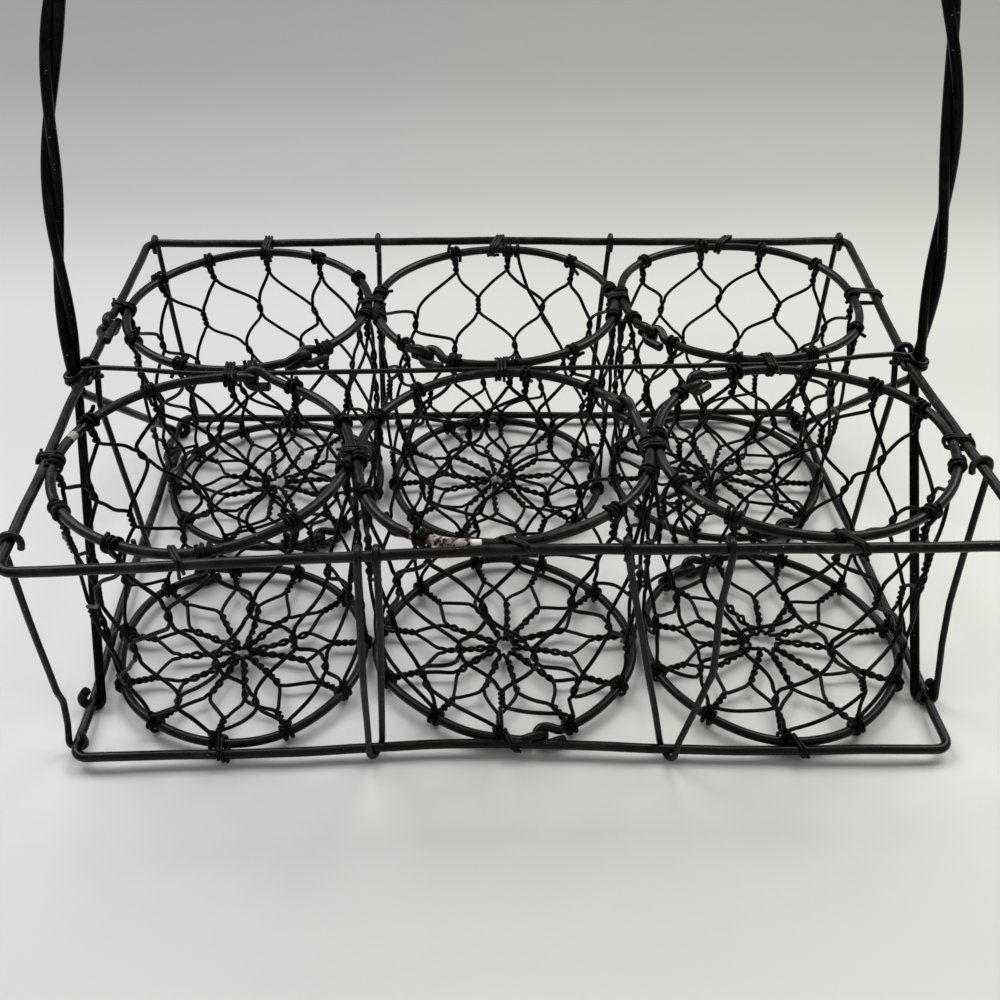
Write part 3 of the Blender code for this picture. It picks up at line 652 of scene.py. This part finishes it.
def wall_paths(name, size):
    """The 22 wires of a basket's wall, each from its turns on the top ring to the floor ring.

    In a twist a wire circles its pair's middle line at half a wire; between twists its angle
    round the basket goes over to the next pair's by a seeded, slightly crooked ramp.
    """
    random = seeded("wall", name)
    angles, depths, sides, half_turns = wall_knots(name, random)
    count, rows = half_turns.shape
    places = knot_places([20] * (2 * rows - 1))
    knot, share = places.astype(int), places % 1
    between = knot % 2 == 1
    gap = np.clip((knot - 1) // 2, 0, rows - 1)
    grows = (np.arange(count)[:, None] + np.arange(rows)) % 2 == 1
    crook = random.normal(0, 0.055, (count, rows)) + np.where(grows, 0.10, -0.03)
    curl = random.normal(-0.02, 0.03, (count, rows))
    loose = random.normal(0, 0.0004, (count, rows))[:, gap] * np.sin(np.pi * share) * between
    ramp = crook[:, gap] * np.sin(np.pi * share) + curl[:, gap] * np.sin(TURN * share)
    bowed = np.clip(places + np.where(between, ramp, 0), 0, 2 * rows - 1)
    steady = np.stack([along_knots(angles, bowed), along_knots(depths, places)], axis=-1)
    angle, depth = np.moveaxis(soften(steady, 1.1), -1, 0)
    half_turns = half_turns[:, np.minimum(knot // 2, rows - 1)]
    phase = np.where(between, 0, np.pi * half_turns * share)
    fine = TWIST_SHARE * size.net_wire * along_knots(sides, places)
    down = np.clip(depth, 0, 1)
    radius = RING_RADIUS + depth * (FLOOR_RING_RADIUS - RING_RADIUS)
    radius += bulge("top_ring_" + name, angle) * np.clip(1 - depth, 0, 1) ** 2
    radius += bulge("floor_ring_" + name, angle) * down**2
    angle = angle + fine * np.cos(phase) / radius
    radius += WALL_BELLY * np.sin(np.pi * down) + loose + fine * np.sin(phase)
    path = basket_axis(name, depth[..., None]) + radius[..., None] * toward(angle)
    turns = 0.74 + random.integers(0, 2, count) * 0.45 + random.normal(0, 0.08, count)
    tail = np.abs(random.normal(0.0010, 0.0010, count)) + 0.0003
    tail = np.where(random.random(count) < 0.10, random.uniform(0.003, 0.006, count), tail)
    upper = wrap_path("top_ring_", name, size, angles[:, 0], sides[:, 0], turns, tail,
                      start=0.0, spin=1, first=0.00065, pitch=1.04)
    turns = 0.62 + random.normal(0, 0.08, count)
    tail = np.abs(random.normal(0.0004, 0.0005, count)) + 0.0003
    lower = wrap_path("floor_ring_", name, size, angles[:, -1], sides[:, -1], turns, tail,
                      start=0.0, spin=-1, first=0.0011, pitch=1.04)
    return soften(np.concatenate([upper, path, lower[:, ::-1]], axis=1), 0.9)


def first_joint(name):
    """The angle of the first of a basket's eleven joints on its floor ring."""
    return np.pi / NET_COLUMNS / 4 + (np.pi if BASKETS[name][1] > 0 else 0)


def floor_knots(name, random):
    """Where a floor's petal wires start and end their twists: their angles, radii and sides."""
    pitch = TURN / NET_COLUMNS
    joint = first_joint(name) + pitch * np.arange(NET_COLUMNS)
    spoke = joint + pitch / 2 + random.normal(0, 0.030, NET_COLUMNS)
    twist = random.normal(0, 0.10, NET_COLUMNS)
    knee = SPOKE_RADIUS + random.normal(0, 0.0009, NET_COLUMNS)
    part = JOINT_RADIUS + random.normal(0, 0.0008, NET_COLUMNS)
    hub = HUB_RADII.get(name, HUB_RADIUS) + random.normal(0, 0.0006, NET_COLUMNS)
    skew = joint + random.normal(0, 0.02, NET_COLUMNS)
    edge = np.full(NET_COLUMNS, FLOOR_EDGE_RADIUS)
    left = np.roll(spoke, 1) - TURN * (np.arange(NET_COLUMNS) == 0)
    angles = [joint, skew, left, left + np.roll(twist, 1), spoke + twist, spoke, skew, joint]
    radii = [edge, part, np.roll(knee, 1), np.roll(hub, 1), hub, knee, part, edge]
    sides = np.array([[-1.0, -1, 1, 1, -1, -1, 1, 1]]).repeat(NET_COLUMNS, axis=0)
    return np.stack(angles, axis=1), np.stack(radii, axis=1), sides


def floor_paths(name, size):
    """The 11 petal wires of a basket's floor.

    A petal starts on the floor ring, is twisted with its own other end as far as the joint,
    parts to the spoke on its left, runs in twisted with the next petal, bends round the hub
    and comes back by the spoke on its right. In a twist the phase depends on the distance
    from the hub alone, so that both wires of a pair fit round each other.
    """
    random = seeded("floor", name)
    angles, radii, sides = floor_knots(name, random)
    joint, spoke = JOINT_HALF_TURNS, SPOKE_HALF_TURNS
    places = knot_places((6 * joint, 18, 6 * spoke, 12, 6 * spoke, 18, 6 * joint))
    span = np.minimum(places.astype(int), 6)
    share = places - span
    half_turns = np.array([joint, 0, spoke, 0, spoke, 0, joint])[span]
    phase = np.pi * half_turns * np.where(np.isin(span, (0, 2)), 1 - share, share)
    crook = random.normal(0, 0.05, (NET_COLUMNS, 2)) + np.array([-0.08, 0.08])
    ramp = crook[:, (span > 3).astype(int)] * np.sin(np.pi * share)
    bowed = np.clip(places + np.where(np.isin(span, (1, 5)), ramp, 0), 0, 7)
    steady = np.stack([along_knots(angles, bowed), along_knots(radii, places)], axis=-1)
    angle, radius = np.moveaxis(soften(steady, 1.0), -1, 0)
    radius = radius + bulge("floor_ring_" + name, angle) * (radius / FLOOR_RING_RADIUS) ** 2
    fine = TWIST_SHARE * size.net_wire * along_knots(sides, places)
    sag = FLOOR_SAG * (1 - (radius / FLOOR_RING_RADIUS) ** 2)
    lift = random.normal(0, 0.0004, (NET_COLUMNS, 1)) * np.sin(np.pi * places / 7)
    path = basket_axis(name, 1) + radius[..., None] * toward(angle)
    path = path + (fine * np.cos(phase))[..., None] * toward(angle + np.pi / 2)
    path = path + (fine * np.sin(phase) - sag + lift)[..., None] * Z
    ends = []
    for side in (-1.0, 1.0):
        turns = 0.62 + random.normal(0, 0.08, NET_COLUMNS)
        tail = np.abs(random.normal(0.0004, 0.0004, NET_COLUMNS)) + 0.0003
        ends.append(wrap_path("floor_ring_", name, size, angles[:, 0], np.full(NET_COLUMNS, side),
                              turns, tail, start=0.62 * np.pi, spin=-1, first=0.00055, pitch=1.06))
    return soften(np.concatenate([ends[0], path, ends[1][:, ::-1]], axis=1), 0.9)


# Paint


class Value:
    """A shader socket on which Python's arithmetic adds Math nodes."""

    def __init__(self, sheet, socket):
        self.sheet, self.socket = sheet, socket

    def join(self, operation, first, second):
        """A Math node's value, for two values or numbers."""
        values = {0: first, 1: second}
        return self.sheet.add("ShaderNodeMath", {"operation": operation}, values, "Value")

    def __add__(self, other):
        return self.join("ADD", self, other)

    def __radd__(self, other):
        return self.join("ADD", other, self)

    def __sub__(self, other):
        return self.join("SUBTRACT", self, other)

    def __rsub__(self, other):
        return self.join("SUBTRACT", other, self)

    def __mul__(self, other):
        return self.join("MULTIPLY", self, other)

    def __rmul__(self, other):
        return self.join("MULTIPLY", other, self)

    def between(self, low, high):
        """0 below low, 1 above high and a smooth step from one to the other."""
        values = {"Value": self, "From Min": low, "From Max": high}
        settings = {"interpolation_type": "SMOOTHSTEP"}
        return self.sheet.add("ShaderNodeMapRange", settings, values, "Result")


class Sheet:
    """The nodes of one material, with its Principled shader."""

    def __init__(self, name):
        self.material = bpy.data.materials.new(name)
        self.material.use_nodes = True
        self.nodes, self.links = self.material.node_tree.nodes, self.material.node_tree.links
        self.shader = self.nodes["Principled BSDF"]
        self.place = self.add("ShaderNodeTexCoord", {}, {}, "Object")

    def add(self, kind, settings, values, output):
        """A node of a kind: its settings come first, then the values or links of its sockets."""
        node = self.nodes.new(kind)
        for key, setting in settings.items():
            setattr(node, key, setting)
        for key, value in values.items():
            self.feed(node.inputs[key], value)
        return Value(self, node.outputs[output])

    def feed(self, socket, value):
        """A link where the value is one, and otherwise a constant."""
        if isinstance(value, Value):
            self.links.new(value.socket, socket)
        else:
            socket.default_value = value

    def noise(self, scale, detail, roughness=0.55):
        """A noise texture's value, in the object's own coordinates."""
        values = {"Vector": self.place, "Scale": scale, "Detail": detail, "Roughness": roughness}
        return self.add("ShaderNodeTexNoise", {}, values, "Fac")

    def blend(self, factor, low, high):
        """A colour that goes from low to high, by the Mix node's colour sockets 6, 7 and 2."""
        low, high = (v if isinstance(v, Value) else (*v, 1.0) for v in (low, high))
        return self.add("ShaderNodeMix", {"data_type": "RGBA"}, {0: factor, 6: low, 7: high}, 2)

    def axis(self, name):
        """One of the object's own three coordinates."""
        return self.add("ShaderNodeSeparateXYZ", {}, {"Vector": self.place}, name)

    def finish(self, colour, roughness, height, distance, strength):
        """Feed the shader, with the height as a bump of that distance in metres."""
        self.feed(self.shader.inputs["Base Color"], colour)
        self.feed(self.shader.inputs["Roughness"], roughness)
        values = {"Strength": strength, "Distance": distance, "Height": height}
        bump = self.add("ShaderNodeBump", {}, values, "Normal")
        self.feed(self.shader.inputs["Normal"], bump)
        return self.material


def wire_paint(name, colour, worn, gloss, roughness, wear, specks, chipped):
    """Brushed black paint on steel wire: thick and thin places, dull handled patches, pale specks.

    chipped is the pair of colours, bare steel and rust, of the chips in it, or None.
    """
    sheet = Sheet(name)
    wide = sheet.noise(45.0, 2.0)
    patches = sheet.noise(210.0, 5.0, 0.65)
    grain = sheet.noise(1500.0, 3.0)
    drips = sheet.noise(520.0, 2.0)
    worn_mask = (wide * 0.55 + patches * 0.45).between(0.50, 0.66) * wear
    dull = patches.between(0.42, 0.70)
    rare = sheet.noise(95.0, 1.0).between(0.52, 0.60)
    speck_mask = sheet.noise(1150.0, 1.0).between(0.745, 0.765) * rare * specks
    coloured = sheet.blend(worn_mask, colour, worn)
    coloured = sheet.blend(speck_mask, coloured, SPECK_COLOUR)
    rough = roughness + 0.16 * dull + 0.10 * worn_mask - 0.06 * grain
    height = drips * 0.6 + grain * 0.25 + patches * 0.5
    if chipped:
        patch, coloured = chip(sheet, coloured, patches, *chipped)
        rough = rough + 0.10 * patch
        height = height - 1.2 * patch
    sheet.shader.inputs["Specular IOR Level"].default_value = gloss
    return sheet.finish(coloured, rough, height, 0.00018, 0.55)


def chip(sheet, coloured, patches, bare, rust):
    """Two chips in the paint, as their mask and the colour of paint and chips together.

    The long one, on the upper front of the front middle ring, is flaked steel with rust near
    its left end and an unbroken right end. The small one is a spot on the front left ring.
    """
    along, across = sheet.axis("X"), sheet.axis("Y")
    ragged = (sheet.noise(330.0, 4.0, 0.7) - 0.5) * 0.0075
    where = along + ragged
    inside = (across + ragged * 0.1).between(*CHIP_FRONT)
    front = 1 - (across + ragged * 0.4).between(*CHIP_BACK)
    upper = (sheet.axis("Z") + ragged * 0.30).between(*CHIP_BOTTOM)
    span = where.between(*CHIP_LEFT) * (1 - along.between(*CHIP_RIGHT))
    bright = along.between(BRIGHT_X, BRIGHT_X + 0.0015)
    flaked = (sheet.noise(420.0, 4.0, 0.7) + bright).between(0.42, 0.52)
    off_x, off_y = along - SMALL_CHIP_X + 0.3 * ragged, across - SMALL_CHIP_Y + 0.3 * ragged
    small = 1 - (off_x * off_x + off_y * off_y).between(0.0000022, 0.0000042)
    patch = span * front * inside * upper * flaked + small * upper
    rusty = where.between(*RUST_LEFT) * (1 - where.between(*RUST_RIGHT))
    metal = sheet.blend(patches.between(0.30, 0.70), [0.35 * c for c in bare], bare)
    metal = sheet.blend(along.between(BRIGHT_X, BRIGHT_X + 0.0013), metal, [1.45 * c for c in bare])
    rim = sheet.blend(patch.between(0.05, 0.45), coloured, RIM_COLOUR)
    return patch, sheet.blend(patch.between(0.35, 0.75), rim, sheet.blend(rusty, metal, rust))


def floor_paint(left, right):
    """Pale paper with a faint grain and painted light and shade: darker and cooler to the left, lighter
    at the front and darker towards the back, standing in for how the light falls.

    Each painted change of light starts and ends somewhere along Y and adds or takes off a share.
    """
    sheet = Sheet("floor_paper")
    # Painted light and shade across X: the paper is darker and cooler to the left, lighter and warmer to
    # the right
    paper = sheet.blend(sheet.axis("X").between(-0.35, 0.35), left, right)
    back = sheet.axis("Y")
    level = 1 + 0.012 * (sheet.noise(28.0, 3.0) - 0.5)
    # Painted light and shade along Y: lighter at the front and darker towards the back, standing in for
    # how the light falls off
    for start, end, change in FLOOR_LIGHT_AND_SHADE:
        level = level + change * back.between(start, end)
    settings = {"operation": "SCALE"}
    lit_and_shaded_paper = sheet.add("ShaderNodeVectorMath", settings, {"Vector": paper, "Scale": level}, "Vector")
    sheet.shader.inputs["Specular IOR Level"].default_value = 0.1
    return sheet.finish(lit_and_shaded_paper, 0.85, sheet.noise(900.0, 2.0), 0.0001, 0.1)


# Settings


def length_setting(name, description, default):
    """A length that a user may change."""
    return bpy.props.FloatProperty(name=name, description=description, default=default,
                                   min=0.0, subtype="DISTANCE", unit="LENGTH", precision=5)


def colour_setting(name, description, default):
    """A paint's colour."""
    return bpy.props.FloatVectorProperty(name=name, description=description, default=default,
                                         size=3, min=0.0, max=1.0, subtype="COLOR")


def share_setting(name, description, default):
    """A share between nothing and all."""
    return bpy.props.FloatProperty(name=name, description=description, default=default,
                                   min=0.0, max=1.0, subtype="FACTOR")


class CaddyWires(bpy.types.PropertyGroup):
    """Thicknesses of the caddy's wires."""

    frame_wire: length_setting("Frame wire", "Thickness of the rails' and rings' wire", 0.0035)
    handle_wire: length_setting("Handle wire", "Thickness of each strand of the handle", 0.0036)
    post_wire: length_setting("Post wire", "Thickness of the posts and struts", 0.0024)
    cross_wire: length_setting("Cross wire", "Thickness of the wire between the rows", 0.0020)
    tie_wire: length_setting("Tie wire", "Thickness of the ties", 0.00120)
    net_wire: length_setting("Net wire", "Thickness of one strand of the netting", 0.00154)
    wobble: length_setting("Wobble", "How far hand-bent wires stray from straight", 0.00035)


class CaddyPaint(bpy.types.PropertyGroup):
    """Colours and wear of the caddy's paint."""

    frame_colour: colour_setting("Frame paint", "Paint of rails, rings and posts",
                                 (0.0026, 0.0026, 0.0025))
    # The handle's paint is black like the frame's, made darker as painted shade that stands in for the
    # dark surroundings the handle mirrors
    handle_colour: colour_setting("Handle paint", "Paint of the handle", (0.0012, 0.0013, 0.0012))
    net_colour: colour_setting("Net paint", "Paint of the netting", (0.0018, 0.0018, 0.0016))
    tie_colour: colour_setting("Tie paint", "Paint of the ties", (0.0030, 0.0029, 0.0027))
    worn_colour: colour_setting("Worn paint", "Grey brown of rubbed paint", (0.026, 0.026, 0.023))
    bare_colour: colour_setting("Bare steel", "Steel where the paint is chipped off", (0.50, 0.47, 0.39))
    rust_colour: colour_setting("Rust", "Rust beside the bare steel", (0.150, 0.022, 0.012))
    wear: share_setting("Wear", "How much of the paint is rubbed", 0.70)
    specks: share_setting("Specks", "How bright the pale specks are", 0.85)
    gloss: share_setting("Gloss", "How strongly the frame's paint mirrors", 0.19)
    roughness: share_setting("Roughness", "Roughness of the frame's paint", 0.30)


class CaddyStudio(bpy.types.PropertyGroup):
    """Floor and light."""

    # The two floor colours differ by painted light and shade: the left one darker and cooler, the right
    # one lighter and warmer
    floor_left: colour_setting("Floor left", "Paper left of the caddy", (0.64, 0.632, 0.632))
    floor_right: colour_setting("Floor right", "Paper right of the caddy", (0.675, 0.672, 0.622))
    lamp: bpy.props.FloatProperty(name="Lamp", description="Power of each lamp behind the caddy",
                                  default=22.0, min=0.0, unit="POWER")
    sky: bpy.props.FloatProperty(name="Sky", description="Strength of the even light all round",
                                 default=0.34, min=0.0)


def paint(kind):
    """The material of one kind of wire, made once."""
    made = bpy.data.materials.get("caddy_" + kind)
    if made:
        return made
    look = bpy.context.scene.caddy_paint
    gloss, wear, specks, rougher = PAINTS[kind]
    chipped = (tuple(look.bare_colour), tuple(look.rust_colour)) if kind == "frame" else None
    return wire_paint("caddy_" + kind, tuple(getattr(look, kind + "_colour")),
                      tuple(look.worn_colour), gloss * look.gloss, look.roughness + rougher,
                      wear * look.wear, specks * look.specks, chipped)


# Operators


class CADDY_OT_rails(bpy.types.Operator):
    """Make the top and the bottom rail"""

    bl_idname = "caddy.rails"
    bl_label = "Rails"

    def execute(self, context):
        size = context.scene.caddy_wires
        for name, half_x, half_y, height, shut in (
                ("top_rail", RAIL_X, RAIL_Y, TOP_Z, TOP_RAIL_SHUT),
                ("bottom_rail", FLOOR_RAIL_X, FLOOR_RAIL_Y, FLOOR_Z, LOW_RAIL_SHUT)):
            path = racked(rail_path(half_x, half_y, height, shut, size.frame_wire))
            path = wobbled(path, size.wobble, name)
            add_wires(name + "_wire", "frame", path, size.frame_wire, 16, name)
        return {"FINISHED"}


class CADDY_OT_rings(bpy.types.Operator):
    """Make the top and the floor ring of each basket"""

    bl_idname = "caddy.rings"
    bl_label = "Rings"

    def execute(self, context):
        wire = context.scene.caddy_wires.frame_wire
        for name, basket in BASKETS.items():
            # A floor ring is hooked shut between two of its joints, or at its own angle
            low = first_joint(name) + 3.5 * TURN / NET_COLUMNS
            if name in LOW_CLOSURES:
                low = np.radians(LOW_CLOSURES[name])
            closures = {"top_ring_": np.radians(basket[2]), "floor_ring_": low}
            for kind, closure in closures.items():
                path = ring_path(kind, name, closure, wire)
                add_wires(kind + name + "_wire", "frame", path, wire, 14, kind + name)
        return {"FINISHED"}


class CADDY_OT_netting(bpy.types.Operator):
    """Make the netting of each basket's wall and floor"""

    bl_idname = "caddy.netting"
    bl_label = "Netting"

    def execute(self, context):
        size = context.scene.caddy_wires
        for kind, net_paths in (("side_net_", wall_paths), ("floor_net_", floor_paths)):
            for name in BASKETS:
                paths = net_paths(name, size)
                add_wires(kind + name + "_wires", "net", paths, size.net_wire, 6, kind + name)
        return {"FINISHED"}


class CADDY_OT_handle(bpy.types.Operator):
    """Make the handle's two strands and the cross wire that lashes them to the rail"""

    bl_idname = "caddy.handle"
    bl_label = "Handle"

    def execute(self, context):
        size = context.scene.caddy_wires
        for name, side_y, leg_y in (("front", -1, FRONT_LEG_Y), ("back", 1, BACK_LEG_Y)):
            node = "handle_strand_" + name
            path = strand_path(side_y, leg_y, size)
            add_wires(node + "_wire", "handle", path, size.handle_wire, 14, node)
        path = bent(lash_path(-1, size)[::-1] + lash_path(1, size), 0.0005, 0.0009)
        add_wires("cross_wire_wire", "frame", path, size.cross_wire, 12, "cross_wire")
        return {"FINISHED"}


class CADDY_OT_posts(bpy.types.Operator):
    """Make the posts and struts between the two rails"""

    bl_idname = "caddy.posts"
    bl_label = "Posts and struts"

    def execute(self, context):
        size = context.scene.caddy_wires
        reach = (size.frame_wire + size.post_wire) / 2 + 0.0001

        def side_post(side, top_y, foot_y, *way):
            """A post between the rails' left or right sides."""
            top = side * RAIL_X * X + top_y * Y + TOP_Z * Z
            foot = side * FLOOR_RAIL_X * X + foot_y * Y + FLOOR_Z * Z
            return post_path(top, foot, side * X, reach, np.array(way))

        def back_post(top_x, foot_x, *way):
            """A post between the rails' back sides."""
            top = top_x * X + RAIL_Y * Y + TOP_Z * Z
            foot = foot_x * X + FLOOR_RAIL_Y * Y + FLOOR_Z * Z
            return post_path(top, foot, Y, reach, np.array(way))

        paths = {
            "post_front_left": side_post(-1, -0.0940, -0.0992, (-0.1602, -0.0943, 0.0270),
                                         (-0.1600, -0.0928, 0.0200), (-0.1598, -0.0955, 0.0110)),
            "post_front_right": side_post(1, -0.0665, -0.0818, (0.1584, -0.0740, 0.0442),
                                          (0.1576, -0.0785, 0.0282)),
            "post_side_left": side_post_path(-1, reach),
            "post_side_right": side_post_path(1, reach),
            "post_back_left": back_post(-0.1553, -0.1505),
            "post_back_right": back_post(0.1553, 0.1530, (0.1574, 0.1105, 0.0500)),
            "strut_back_left": back_post(-0.0550, -0.0550),
            "strut_back_right": back_post(0.0505, 0.0505),
            "strut_front_left": strut_path((-0.430, -0.476, -0.488), reach),
            "strut_front_right": strut_path(
                (0.310, 0.533, 0.619), reach, (0.0581, -0.1094, 0.0110),
                (0.0620, -0.1098, 0.0284), (0.0650, -0.1106, 0.0468),
                (0.0645, -0.1108, 0.0581), (0.0632, -0.1108, 0.0760)),
        }
        for name, path in paths.items():
            path = wobbled(racked(path), 0.6 * size.wobble, name)
            add_wires(name + "_wire", "frame", path, size.post_wire, 12, name)
        return {"FINISHED"}


class CADDY_OT_ties(bpy.types.Operator):
    """Make the ties that bind rings, rails and the cross wire together"""

    bl_idname = "caddy.ties"
    bl_label = "Ties"

    def execute(self, context):
        size = context.scene.caddy_wires
        tie = size.tie_wire
        reach = (size.frame_wire + tie) / 2 + 0.00005
        for name, (first, second, run, turns) in tie_spots().items():
            tails = seeded("tails", name).uniform(0.0008, 0.0028, 2)
            if name.startswith(("tie_floor", "tie_side")):
                tails = tails * 0.3
            path = tie_path(first, second, run, reach, turns, 1.10 * tie, tails, name)
            add_wires(name + "_wire", "tie", path, tie, 8, name)
        return {"FINISHED"}


class CADDY_OT_stray(bpy.types.Operator):
    """Make the stray end of netting wire that hangs in the back middle basket"""

    bl_idname = "caddy.stray"
    bl_label = "Stray wire"

    def execute(self, context):
        size = context.scene.caddy_wires
        outward = toward(np.radians(76))
        hung = basket_axis("back_middle", 0) + RING_RADIUS * outward
        reach = (size.frame_wire + size.net_wire) / 2
        angles = np.linspace(3.4 * np.pi, np.pi, 30)[:, None]
        turns = hung + reach * (np.cos(angles) * outward + np.sin(angles) * Z)
        turns = turns - 0.0010 * angles / TURN * X
        down = [hung - reach * outward - 0.006 * Z + 0.0006 * X,
                hung - 0.0055 * outward - 0.017 * Z + 0.0050 * X,
                hung - 0.0075 * outward - 0.0370 * Z + 0.0170 * X]
        path = bent(list(turns) + down, 0.0005, 0.0012)
        add_wires("stray_wire", "net", path, size.net_wire, 8)
        return {"FINISHED"}


class CADDY_OT_studio(bpy.types.Operator):
    """Make the floor, the light and the camera"""

    bl_idname = "caddy.studio"
    bl_label = "Studio"

    def execute(self, context):
        scene = context.scene
        studio = scene.caddy_studio
        side = np.linspace(-4, 4, 9)
        x, y = np.meshgrid(side, side, indexing="ij")
        corners = np.stack([x, y, 0 * x - STUDIO_FLOOR_DEPTH], axis=-1).reshape(-1, 3)
        index = np.arange(81).reshape(9, 9)
        quads = np.stack([index[:-1, :-1], index[1:, :-1], index[1:, 1:], index[:-1, 1:]], axis=-1)
        mesh = bpy.data.meshes.new("studio_floor")
        mesh.from_pydata(corners.tolist(), [], quads.reshape(-1, 4).tolist())
        mesh.materials.append(floor_paint(tuple(studio.floor_left), tuple(studio.floor_right)))
        floor = bpy.data.objects.new("studio_floor", mesh)
        scene.collection.objects.link(floor)
        self.light(scene, studio)
        self.camera(scene)
        return {"FINISHED"}

    def light(self, scene, studio):
        """Two soft lamps behind the caddy, left and right, and an even pale sky."""
        for name, place in LAMP_PLACES.items():
            lamp = bpy.data.lights.new("lamp_" + name, "AREA")
            lamp.shape, lamp.size, lamp.size_y, lamp.energy = "RECTANGLE", 1.2, 0.9, studio.lamp
            holder = bpy.data.objects.new("lamp_" + name, lamp)
            scene.collection.objects.link(holder)
            holder.matrix_world = aimed(np.array(place), LAMP_TARGET, X)
        world = bpy.data.worlds.new("studio")
        scene.world = world
        world.use_nodes = True
        sky = world.node_tree.nodes["Background"]
        sky.inputs["Color"].default_value = (0.98, 0.99, 1.0, 1.0)
        sky.inputs["Strength"].default_value = studio.sky
        scene.view_settings.view_transform = "Standard"

    def camera(self, scene):
        """The photograph's camera: its axes are turned by its yaw, its pitch and then its roll."""
        yaw, pitch, roll = np.radians(CAMERA_TURNS)
        ahead = np.array([np.sin(yaw) * np.cos(pitch), np.cos(yaw) * np.cos(pitch), -np.sin(pitch)])
        right = np.cos(yaw) * X - np.sin(yaw) * Y
        up = np.cross(right, ahead)
        level_right = np.cos(roll) * right + np.sin(roll) * up
        level_up = np.cos(roll) * up - np.sin(roll) * right
        lens = bpy.data.cameras.new("camera")
        lens.sensor_width, lens.lens, lens.clip_start = 36.0, CAMERA_LENS, 0.01
        view = bpy.data.objects.new("camera", lens)
        scene.collection.objects.link(view)
        view.matrix_world = placed(level_right, level_up, -ahead, CAMERA_PLACE)
        scene.camera = view


def placed(right, up, back, place):
    """A world matrix from three axes and a place."""
    rows = np.eye(4)
    rows[:3] = np.stack([right, up, back, place], axis=1)
    return Matrix(rows.tolist())


def aimed(place, target, right):
    """The matrix of a lamp at place that looks at target."""
    back = unit(place - target)
    up = unit(np.cross(back, right))
    return placed(np.cross(up, back), up, back, place)


MAKERS = (CADDY_OT_studio, CADDY_OT_rails, CADDY_OT_rings, CADDY_OT_netting, CADDY_OT_handle,
          CADDY_OT_posts, CADDY_OT_ties, CADDY_OT_stray)


class VIEW3D_PT_caddy(bpy.types.Panel):
    """The caddy's settings and the operators that make it."""

    bl_label = "Wire Plant Caddy"
    bl_space_type = "VIEW_3D"
    bl_region_type = "UI"
    bl_category = "Caddy"

    def draw(self, context):
        layout = self.layout
        for group in GROUPS:
            box = layout.box()
            for name in GROUPS[group].__annotations__:
                box.prop(getattr(context.scene, group), name)
        for maker in MAKERS:
            layout.operator(maker.bl_idname)


GROUPS = {"caddy_wires": CaddyWires, "caddy_paint": CaddyPaint, "caddy_studio": CaddyStudio}


def register():
    """Register the settings, the operators and the panel."""
    for name, group in GROUPS.items():
        bpy.utils.register_class(group)
        setattr(bpy.types.Scene, name, bpy.props.PointerProperty(type=group))
    for item in MAKERS + (VIEW3D_PT_caddy,):
        bpy.utils.register_class(item)


def unregister():
    """Take them all away again."""
    for item in reversed(MAKERS + (VIEW3D_PT_caddy,)):
        bpy.utils.unregister_class(item)
    for name, group in GROUPS.items():
        delattr(bpy.types.Scene, name)
        bpy.utils.unregister_class(group)


def main():
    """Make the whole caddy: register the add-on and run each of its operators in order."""
    register()
    for maker in MAKERS:
        group, name = maker.bl_idname.split(".")
        getattr(getattr(bpy.ops, group), name)()


if __name__ == "__main__":
    main()
